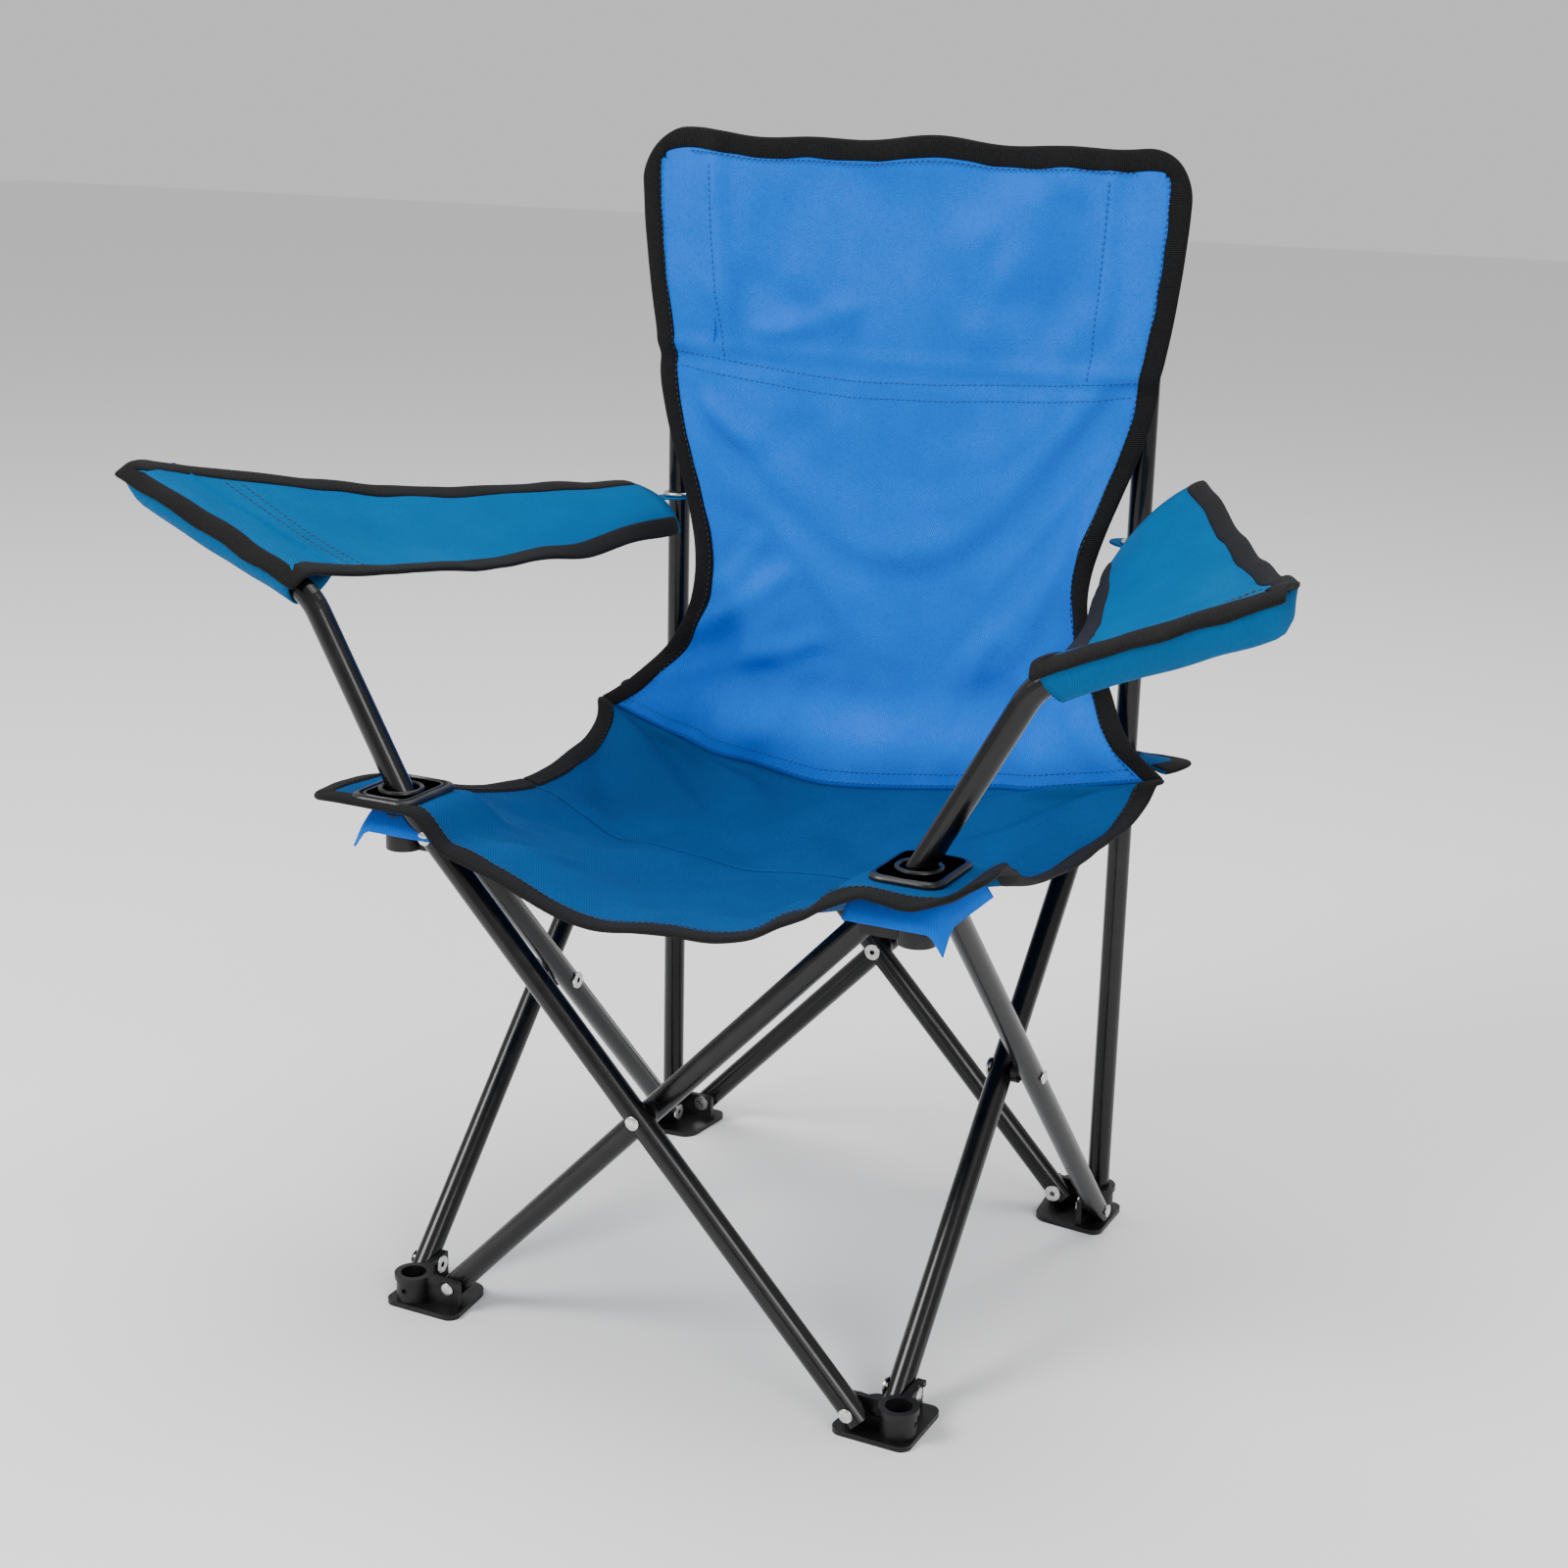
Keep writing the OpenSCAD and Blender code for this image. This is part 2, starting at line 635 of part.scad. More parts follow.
arm_sleeve(true);  // arm_sleeve_right
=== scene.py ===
"""Folding camp chair: cloth, bindings, armrests, grommets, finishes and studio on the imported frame."""

import json
import logging
import math
from collections.abc import Iterable
from dataclasses import dataclass, field
from enum import Enum

import bmesh
import bpy
import numpy as np
from mathutils import Matrix, Vector, noise


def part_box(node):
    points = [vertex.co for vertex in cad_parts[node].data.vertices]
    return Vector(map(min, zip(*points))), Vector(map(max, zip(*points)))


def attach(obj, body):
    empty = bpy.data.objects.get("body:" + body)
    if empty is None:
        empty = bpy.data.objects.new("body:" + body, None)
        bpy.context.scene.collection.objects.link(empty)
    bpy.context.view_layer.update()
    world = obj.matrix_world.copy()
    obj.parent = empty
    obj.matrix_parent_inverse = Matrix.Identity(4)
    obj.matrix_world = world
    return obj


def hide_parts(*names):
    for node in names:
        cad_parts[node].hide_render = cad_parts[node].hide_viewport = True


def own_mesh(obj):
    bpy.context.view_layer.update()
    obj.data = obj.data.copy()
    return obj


log = logging.getLogger("camp_chair")
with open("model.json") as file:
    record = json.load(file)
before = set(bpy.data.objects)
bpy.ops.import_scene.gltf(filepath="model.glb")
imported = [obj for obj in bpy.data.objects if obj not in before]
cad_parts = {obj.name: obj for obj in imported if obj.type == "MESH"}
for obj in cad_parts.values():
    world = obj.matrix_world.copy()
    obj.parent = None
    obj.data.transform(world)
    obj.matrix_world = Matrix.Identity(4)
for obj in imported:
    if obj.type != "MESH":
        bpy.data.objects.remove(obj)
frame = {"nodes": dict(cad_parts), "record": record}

Array = np.ndarray
Socket = bpy.types.NodeSocket
Finish = bpy.types.Material

# How far the stitches stand on a tape, and the gap between the seat and the flap under it, in metres.
TAPE_STITCH_LIFT = 0.0011
FLAP_CLEARANCE = 0.0024
# The cloth's crumpling: frames of simulation, share by which it is too large, furthest move in metres.
CRUMPLE_FRAMES = 14
CRUMPLE_SLACK = 0.012
CRUMPLE_LIMIT = 0.007



class Side(Enum):
    """The sitter's two sides, as the sign of x."""

    LEFT = -1
    RIGHT = 1

    @property
    def word(self) -> str:
        """The side's word in the frame's node names."""
        return self.name.lower()


class Slot(Enum):
    """The record's material slots."""

    TUBE = "black_tube"
    MOULDING = "black_plastic"
    GROMMET = "grommet_plastic"
    RIVET = "rivet_steel"
    EYELET = "eyelet_steel"
    BINDING = "black_binding"
    SEAT = "seat_fabric"
    BACK = "back_fabric"
    ARM = "arm_fabric"


# ---------------------------------------------------------------- finishes


class Graph:
    """A material and its node tree, with short calls for the nodes that the finishes use."""

    def __init__(self, name: str) -> None:
        """Starts a material with one Principled shader.

        Args:
            name: The material's name.
        """
        self.material = bpy.data.materials.new(name)
        self.material.use_nodes = True
        self.tree = self.material.node_tree
        self.shader = self.tree.nodes["Principled BSDF"]

    def add(self, kind: str, **settings: object) -> bpy.types.Node:
        """Adds a node.

        Args:
            kind: The node's type name.
            settings: Values for its properties.

        Returns:
            The new node.
        """
        made = self.tree.nodes.new(kind)
        for name, value in settings.items():
            setattr(made, name, value)
        return made

    def link(self, source: Socket, target: Socket) -> None:
        """Joins an output to an input."""
        self.tree.links.new(source, target)

    def set(self, **values: object) -> None:
        """Sets constant values on the shader's own sockets; a name's underscores stand for spaces."""
        for name, value in values.items():
            self.shader.inputs[name.replace("_", " ")].default_value = value

    def place(self, output: str, turn: float = 0.0) -> Socket:
        """Coordinates for a pattern.

        Args:
            output: Object or UV.
            turn: Turn about Z, in radians.

        Returns:
            The socket with the coordinates.
        """
        where = self.add("ShaderNodeTexCoord").outputs[output]
        if not turn:
            return where
        mapping = self.add("ShaderNodeMapping")
        mapping.inputs["Rotation"].default_value = (0.0, 0.0, turn)
        self.link(where, mapping.inputs["Vector"])
        return mapping.outputs["Vector"]

    def noise(self, where: Socket, scale: float, detail: float = 3.0) -> Socket:
        """A noise value from 0 to 1.

        Args:
            where: The coordinates, in metres.
            scale: Lumps per metre.
            detail: Number of finer layers.

        Returns:
            The value's socket.
        """
        node = self.add("ShaderNodeTexNoise")
        node.inputs["Scale"].default_value = scale
        node.inputs["Detail"].default_value = detail
        self.link(where, node.inputs["Vector"])
        return node.outputs["Fac"]

    def stripes(self, where: Socket, pitch: float, shake: float = 0.0) -> Socket:
        """Soft parallel stripes across X.

        Args:
            where: The coordinates, in metres.
            pitch: Distance from stripe to stripe, in metres.
            shake: How much the stripes wander.

        Returns:
            The stripe value's socket, from 0 to 1.
        """
        node = self.add("ShaderNodeTexWave")
        node.inputs["Scale"].default_value = math.pi / (10.0 * pitch)
        node.inputs["Distortion"].default_value = shake
        node.inputs["Detail"].default_value = 2.0
        node.inputs["Detail Scale"].default_value = 1.6
        self.link(where, node.inputs["Vector"])
        return node.outputs["Fac"]

    def spread(self, value: Socket, low: float, high: float, start: float = 0.0, end: float = 1.0) -> Socket:
        """Maps a value linearly onto a range.

        Args:
            value: The socket to map.
            low: Result at start.
            high: Result at end.
            start: Value that gives low.
            end: Value that gives high.

        Returns:
            The result's socket.
        """
        node = self.add("ShaderNodeMapRange")
        for name, number in (("From Min", start), ("From Max", end), ("To Min", low), ("To Max", high)):
            node.inputs[name].default_value = number
        self.link(value, node.inputs["Value"])
        return node.outputs["Result"]

    def blend(self, share: Socket, first: object, second: object, how: str = "MIX") -> Socket:
        """Mixes two colours.

        Args:
            share: Socket with the second colour's share.
            first: Colour or socket.
            second: Colour or socket.
            how: Blend type.

        Returns:
            The colour's socket.
        """
        node = self.add("ShaderNodeMix", data_type="RGBA", blend_type=how)
        self.link(share, node.inputs[0])
        for index, colour in ((6, first), (7, second)):
            if isinstance(colour, Socket):
                self.link(colour, node.inputs[index])
            else:
                node.inputs[index].default_value = (*colour, 1.0)
        return node.outputs[2]

    def relief(self, layers: Iterable[tuple[Socket, float, float]]) -> None:
        """Stacks bump layers on the shader's normal.

        Args:
            layers: Height socket, strength and depth in metres for each layer.
        """
        normal = None
        for height, strength, depth in layers:
            node = self.add("ShaderNodeBump")
            node.inputs["Strength"].default_value = strength
            node.inputs["Distance"].default_value = depth
            self.link(height, node.inputs["Height"])
            if normal is not None:
                self.link(normal, node.inputs["Normal"])
            normal = node.outputs["Normal"]
        self.link(normal, self.shader.inputs["Normal"])


@dataclass(frozen=True)
class PaintedTube:
    """Gloss black powder coat with a faint orange-peel skin and handling marks."""

    name: str = "gloss_black_powder_coat"
    tone: tuple[float, float, float] = (0.0018, 0.0018, 0.002)
    worn: tuple[float, float, float] = (0.006, 0.006, 0.0065)

    def build(self) -> Finish:
        """Makes the material."""
        g = Graph(self.name)
        where = g.place("Object")
        marks = g.noise(where, 60.0, 6.0)
        g.link(g.blend(g.spread(marks, 0.0, 1.0, 0.5, 0.75), self.tone, self.worn), g.shader.inputs["Base Color"])
        g.link(g.spread(g.noise(where, 140.0, 4.0), 0.16, 0.34), g.shader.inputs["Roughness"])
        g.set(Coat_Weight=0.12, Coat_Roughness=0.1, Specular_IOR_Level=0.3)
        g.relief([(g.noise(where, 900.0, 2.0), 0.12, 0.0002), (marks, 0.08, 0.0006)])
        return g.material


@dataclass(frozen=True)
class MouldedPlastic:
    """Black moulded plastic with a fine spark-eroded grain and scuffed high spots."""

    name: str = "moulded_black_plastic"
    tone: tuple[float, float, float] = (0.0035, 0.0035, 0.0038)
    scuff: tuple[float, float, float] = (0.013, 0.013, 0.0135)
    gloss: tuple[float, float] = (0.3, 0.5)

    def build(self) -> Finish:
        """Makes the material."""
        g = Graph(self.name)
        where = g.place("Object")
        dust = g.noise(where, 85.0, 8.0)
        g.link(g.blend(g.spread(dust, 0.0, 1.0, 0.48, 0.78), self.tone, self.scuff), g.shader.inputs["Base Color"])
        g.link(g.spread(g.noise(where, 240.0, 5.0), *self.gloss), g.shader.inputs["Roughness"])
        g.set(Specular_IOR_Level=0.32)
        g.relief([(g.noise(where, 2600.0, 2.0), 0.25, 0.00025), (dust, 0.15, 0.0008)])
        return g.material


@dataclass(frozen=True)
class PlatedSteel:
    """Zinc-plated steel with rolled marks."""

    name: str
    tone: tuple[float, float, float]
    gloss: tuple[float, float]

    def build(self) -> Finish:
        """Makes the material."""
        g = Graph(self.name)
        where = g.place("Object")
        cloud = g.noise(where, 420.0, 5.0)
        darker = tuple(0.62 * c for c in self.tone)
        g.link(g.blend(g.spread(cloud, 0.0, 1.0, 0.35, 0.7), self.tone, darker), g.shader.inputs["Base Color"])
        g.link(g.spread(cloud, *self.gloss), g.shader.inputs["Roughness"])
        g.set(Metallic=1.0)
        g.relief([(g.noise(where, 1500.0, 3.0), 0.25, 0.0002)])
        return g.material


@dataclass(frozen=True)
class TwillCloth:
    """Polyester twill: steep diagonal rib over a fine weave, soft shade changes and a little sheen."""

    name: str
    tone: tuple[float, float, float]
    shade: tuple[float, float, float]
    pitch: float = 0.0012

    def build(self) -> Finish:
        """Makes the material."""
        g = Graph(self.name)
        flat = g.place("UV")
        rib = g.stripes(g.place("UV", math.radians(-32.0)), self.pitch, 0.35)
        weft = g.stripes(g.place("UV", math.radians(90.0)), self.pitch * 0.52, 0.2)
        cloud = g.noise(flat, 26.0, 5.0)
        slub = g.noise(flat, 340.0, 4.0)
        body = g.blend(g.spread(cloud, 0.0, 1.0, 0.32, 0.7), self.tone, self.shade)
        dim = tuple(0.8 * c for c in self.shade)
        ribbed = g.blend(g.spread(rib, 0.42, 0.0, 0.1, 0.75), body, dim)
        g.link(g.blend(g.spread(slub, 0.0, 0.4, 0.5, 0.8), ribbed, dim), g.shader.inputs["Base Color"])
        g.link(g.spread(slub, 0.62, 0.86), g.shader.inputs["Roughness"])
        g.set(Sheen_Weight=0.015, Sheen_Roughness=0.4, Sheen_Tint=(*self.tone, 1.0), Specular_IOR_Level=0.07)
        g.relief([(rib, 0.5, 0.00028), (weft, 0.3, 0.00016), (slub, 0.25, 0.0003), (cloud, 0.3, 0.0022)])
        return g.material


@dataclass(frozen=True)
class WovenTape:
    """Black ribbed binding tape; its own U runs along the tape and V across it, in metres."""

    name: str = "ribbed_black_tape"
    tone: tuple[float, float, float] = (0.0028, 0.0028, 0.003)
    fuzz: tuple[float, float, float] = (0.013, 0.013, 0.0135)

    def build(self) -> Finish:
        """Makes the material."""
        g = Graph(self.name)
        flat = g.place("UV")
        ribs = g.stripes(flat, 0.0011, 0.3)
        yarn = g.stripes(g.place("UV", math.radians(90.0)), 0.0009, 0.4)
        lint = g.noise(flat, 520.0, 5.0)
        body = g.blend(g.spread(ribs, 0.0, 0.7, 0.35, 1.0), self.tone, self.fuzz)
        g.link(g.blend(g.spread(lint, 0.0, 0.8, 0.45, 0.85), body, self.fuzz), g.shader.inputs["Base Color"])
        g.link(g.spread(lint, 0.66, 0.9), g.shader.inputs["Roughness"])
        g.set(Sheen_Weight=0.02, Sheen_Roughness=0.5, Specular_IOR_Level=0.12)
        g.relief([(ribs, 0.7, 0.00045), (yarn, 0.45, 0.00025), (lint, 0.3, 0.0004)])
        return g.material


@dataclass(frozen=True)
class Thread:
    """Twisted polyester sewing thread."""

    name: str
    tone: tuple[float, float, float]

    def build(self) -> Finish:
        """Makes the material."""
        g = Graph(self.name)
        where = g.place("Object")
        twist = g.noise(where, 2400.0, 2.0)
        g.link(g.blend(twist, self.tone, tuple(0.5 * c for c in self.tone)), g.shader.inputs["Base Color"])
        g.link(g.spread(twist, 0.45, 0.7), g.shader.inputs["Roughness"])
        g.relief([(twist, 0.4, 0.0002)])
        return g.material


@dataclass(frozen=True)
class StudioPaper:
    """Matt pale floor."""

    name: str = "pale_studio_floor"

    def build(self) -> Finish:
        """Makes the material."""
        g = Graph(self.name)
        where = g.place("Object")
        g.link(g.blend(g.noise(where, 3.0), (0.86, 0.86, 0.86), (0.84, 0.84, 0.84)), g.shader.inputs["Base Color"])
        g.link(g.spread(g.noise(where, 40.0), 0.8, 0.95), g.shader.inputs["Roughness"])
        return g.material


class Wardrobe:
    """Every finish of the chair, made once."""

    def __init__(self) -> None:
        """Makes the materials."""
        self.tube = PaintedTube().build()
        self.moulding = MouldedPlastic().build()
        self.grommet = MouldedPlastic("satin_grommet_plastic", (0.006, 0.0065, 0.007), (0.02, 0.021, 0.022), (0.24, 0.4)).build()
        self.rivet = PlatedSteel("bright_rivet_steel", (0.78, 0.77, 0.75), (0.18, 0.36)).build()
        self.eyelet = PlatedSteel("nickel_eyelet", (0.62, 0.61, 0.6), (0.2, 0.4)).build()
        self.seat = TwillCloth("deep_azure_seat_twill", (0.0, 0.062, 0.205), (0.0, 0.05, 0.17)).build()
        self.back = TwillCloth("bright_azure_back_twill", (0.0, 0.143, 0.72), (0.0, 0.12, 0.61)).build()
        self.arm = TwillCloth("soft_azure_arm_twill", (0.001, 0.1, 0.27), (0.0008, 0.083, 0.23)).build()
        self.tape = WovenTape().build()
        self.blue_thread = Thread("azure_thread", (0.002, 0.11, 0.4)).build()
        self.black_thread = Thread("black_thread", (0.01, 0.01, 0.011)).build()

    def dress_frame(self) -> None:
        """Gives every node of the frame that stays in view its finish, by the record's slot."""
        finishes = {
            Slot.TUBE.value: self.tube, Slot.MOULDING.value: self.moulding, Slot.GROMMET.value: self.grommet,
            Slot.RIVET.value: self.rivet, Slot.EYELET.value: self.eyelet, Slot.BINDING.value: self.tape,
            Slot.SEAT.value: self.seat, Slot.BACK.value: self.back, Slot.ARM.value: self.arm,
        }
        for entry in frame["record"]["subparts"]:
            for slot in frame["nodes"][entry["node"]].material_slots:
                slot.material = finishes[entry["material_slot"]]


# ---------------------------------------------------------------- mesh tools


def smoothstep(value: Array | float) -> Array:
    """Eases a value from 0 to 1."""
    value = np.clip(value, 0.0, 1.0)
    return value * value * (3.0 - 2.0 * value)


def bowl(value: Array, half: float) -> Array:
    """A parabola, 1 at zero and 0 from half outwards."""
    return np.clip(1.0 - (value / half) ** 2, 0.0, None)


def unit(vectors: Array) -> Array:
    """Vectors at length one, along the last axis."""
    return vectors / np.maximum(np.linalg.norm(vectors, axis=-1, keepdims=True), 1e-12)


def wander(points: Array, scale: float, seed: float) -> Array:
    """Smooth noise at points.

    Args:
        points: Array of points, in metres.
        scale: Lumps per metre.
        seed: Offset that picks another pattern.

    Returns:
        One value from about -1 to 1 for each point.
    """
    flat = points.reshape(-1, 3) * scale + seed
    return np.array([noise.noise(Vector(p)) for p in flat]).reshape(points.shape[:-1])


def grid_piece(name: str, points: Array, flat: Array, close: bool = False) -> bpy.types.Object:
    """A mesh of quads through rows of points.

    Args:
        name: The piece's name.
        points: Rows x columns x 3, in metres.
        flat: Rows x columns x 2, for the UV map, in metres.
        close: Whether the columns close into a tube, whose ends are then capped.

    Returns:
        The new object.
    """
    rows, columns = points.shape[:2]
    bm = bmesh.new()
    bmesh.ops.create_grid(bm, x_segments=columns - 1, y_segments=rows - 1, size=1.0)
    layer = bm.loops.layers.uv.new("UVMap")
    spot = {v: (round((v.co.y + 1) / 2 * (rows - 1)), round((v.co.x + 1) / 2 * (columns - 1))) for v in bm.verts}
    for face in bm.faces:
        for loop in face.loops:
            loop[layer].uv = flat[spot[loop.vert]]
    for vert, place in spot.items():
        vert.co = points[place]
    if close:
        bmesh.ops.remove_doubles(bm, verts=bm.verts[:], dist=1e-6)
        bmesh.ops.holes_fill(bm, edges=[e for e in bm.edges if e.is_boundary], sides=0)
        bmesh.ops.recalc_face_normals(bm, faces=bm.faces[:])
    return finish_mesh(name, bm)


def finish_mesh(name: str, bm: bmesh.types.BMesh) -> bpy.types.Object:
    """Turns a bmesh into a smooth-shaded object at the origin.

    Args:
        name: The piece's name.
        bm: The mesh, in the frame's place, which is freed.

    Returns:
        The new object.
    """
    for face in bm.faces:
        face.smooth = True
    mesh = bpy.data.meshes.new(name)
    bm.to_mesh(mesh)
    bm.free()
    made = bpy.data.objects.new(name, mesh)
    bpy.context.scene.collection.objects.link(made)
    return made


def apply_modifiers(piece: bpy.types.Object) -> None:
    """Bakes the piece's modifiers into its mesh."""
    bpy.context.view_layer.update()
    ready = piece.evaluated_get(bpy.context.evaluated_depsgraph_get())
    mesh = bpy.data.meshes.new_from_object(ready)
    piece.modifiers.clear()
    piece.data = mesh


def thicken(piece: bpy.types.Object, depth: float, levels: int = 0) -> None:
    """Gives a sheet its thickness, centred on it, and bakes it.

    Args:
        piece: The sheet.
        depth: Thickness in metres.
        levels: Subdivision levels laid on first.
    """
    if levels:
        rounder = piece.modifiers.new("round", "SUBSURF")
        rounder.levels = rounder.render_levels = levels
        rounder.boundary_smooth = "PRESERVE_CORNERS"
    wall = piece.modifiers.new("cloth", "SOLIDIFY")
    wall.thickness, wall.offset = depth, 0.0
    apply_modifiers(piece)


def normals(points: Array) -> Array:
    """Normals of a grid of points, on the side that grid_piece faces outwards."""
    return unit(np.cross(np.gradient(points, axis=1), np.gradient(points, axis=0)))


@dataclass
class Tape:
    """A folded binding tape sewn over a cloth's edge."""

    width: float = 0.0125
    depth: float = 0.0040
    sides: int = 12
    overhang: float = 0.0011

    def build(self, name: str, ladders: Array, ups: Array, seed: float) -> bpy.types.Object:
        """Sweeps the tape's soft oval section along an edge.

        Args:
            name: The piece's name.
            ladders: For each edge point, points that lead inwards over the cloth.
            ups: The cloth's normals there.
            seed: Picks the tape's own unevenness.

        Returns:
            The new object.
        """
        edge = ladders[:, 0]
        angles = np.linspace(0.0, 2.0 * math.pi, self.sides + 1)
        across = np.sign(np.cos(angles)) * np.abs(np.cos(angles)) ** 0.75
        over = np.sign(np.sin(angles)) * np.abs(np.sin(angles)) ** 0.7
        reach = self.width * (1.0 + 0.09 * wander(edge, 55.0, seed))
        plump = 1.0 + 0.16 * wander(edge, 90.0, seed + 7.0)
        lift = 0.0004 * wander(edge, 70.0, seed + 3.0)
        points = np.zeros((len(edge), len(angles), 3))
        for n, (rungs, up) in enumerate(zip(ladders, ups)):
            step = np.concatenate([[0.0], np.cumsum(np.linalg.norm(np.diff(rungs, axis=0), axis=1))])
            far = reach[n] / 2 * (1 + across) - self.overhang
            base = np.stack([np.interp(far, step, rungs[:, k]) for k in range(3)], axis=-1)
            base += unit(rungs[1] - rungs[0])[None] * np.minimum(far, 0.0)[:, None]
            base += unit(rungs[-1] - rungs[-2])[None] * np.maximum(far - step[-1], 0.0)[:, None]
            raised = unit(np.stack([np.interp(far, step, up[:, k]) for k in range(3)], axis=-1))
            points[n] = base + raised * (over * self.depth * plump[n] / 2 + lift[n])[:, None]
        run = np.concatenate([[0.0], np.cumsum(np.linalg.norm(np.diff(edge, axis=0), axis=1))])
        round_ = np.linspace(0.0, 2.0 * (self.width + self.depth), self.sides + 1)
        flat = np.stack(np.broadcast_arrays(run[:, None], round_[None]), axis=-1)
        piece = grid_piece(name, points, flat, close=True)
        rounder = piece.modifiers.new("round", "SUBSURF")
        rounder.levels = rounder.render_levels = 1
        apply_modifiers(piece)
        return piece


@dataclass
class Stitching:
    """Lock stitches: short threads lying end to end on a cloth."""

    pitch: float = 0.0034
    length: float = 0.0025
    thick: float = 0.00085

    def build(self, name: str, lines: Iterable[tuple[Array, Array]]) -> bpy.types.Object:
        """Lays the stitches.

        Args:
            name: The piece's name.
            lines: For each line of stitches, its points and the cloth's normals there.

        Returns:
            The new object.
        """
        bm = bmesh.new()
        for points, ups in lines:
            run = np.concatenate([[0.0], np.cumsum(np.linalg.norm(np.diff(points, axis=0), axis=1))])
            for at in np.arange(self.pitch, run[-1] - self.pitch / 2, self.pitch):
                middle = Vector([np.interp(at, run, points[:, k]) for k in range(3)])
                ahead = Vector([np.interp(min(at + 0.001, run[-1]), run, points[:, k]) for k in range(3)])
                along = (ahead - middle).normalized()
                up = Vector([np.interp(at, run, ups[:, k]) for k in range(3)]).normalized()
                turn = Matrix((along, up.cross(along).normalized(), up)).transposed().to_4x4()
                size = Matrix.Diagonal((self.length / 2, self.thick / 2, self.thick / 2.4, 1.0))
                bmesh.ops.create_uvsphere(bm, u_segments=6, v_segments=4, radius=1.0, matrix=Matrix.Translation(middle) @ turn @ size)
        return finish_mesh(name, bm)


@dataclass(frozen=True)
class Fold:
    """A soft fold in a cloth, on its flat plan, in metres."""

    start: tuple[float, float]
    end: tuple[float, float]
    height: float
    width: float

    def rise(self, a: Array, b: Array) -> Array:
        """The fold's height over a cloth.

        Args:
            a: First plan coordinate of each point.
            b: Second plan coordinate.

        Returns:
            The height at each point, in metres.
        """
        da, db = self.end[0] - self.start[0], self.end[1] - self.start[1]
        span = da * da + db * db
        along = ((a - self.start[0]) * da + (b - self.start[1]) * db) / span
        off = ((a - self.start[0]) * db - (b - self.start[1]) * da) / math.sqrt(span)
        off = off - 0.18 * self.width * np.sin(along * 5.0)
        fade = smoothstep((along + 0.15) / 0.4) * smoothstep((1.15 - along) / 0.4)
        return self.height * np.exp(-((off / self.width) ** 2)) * fade


# ---------------------------------------------------------------- seat and back


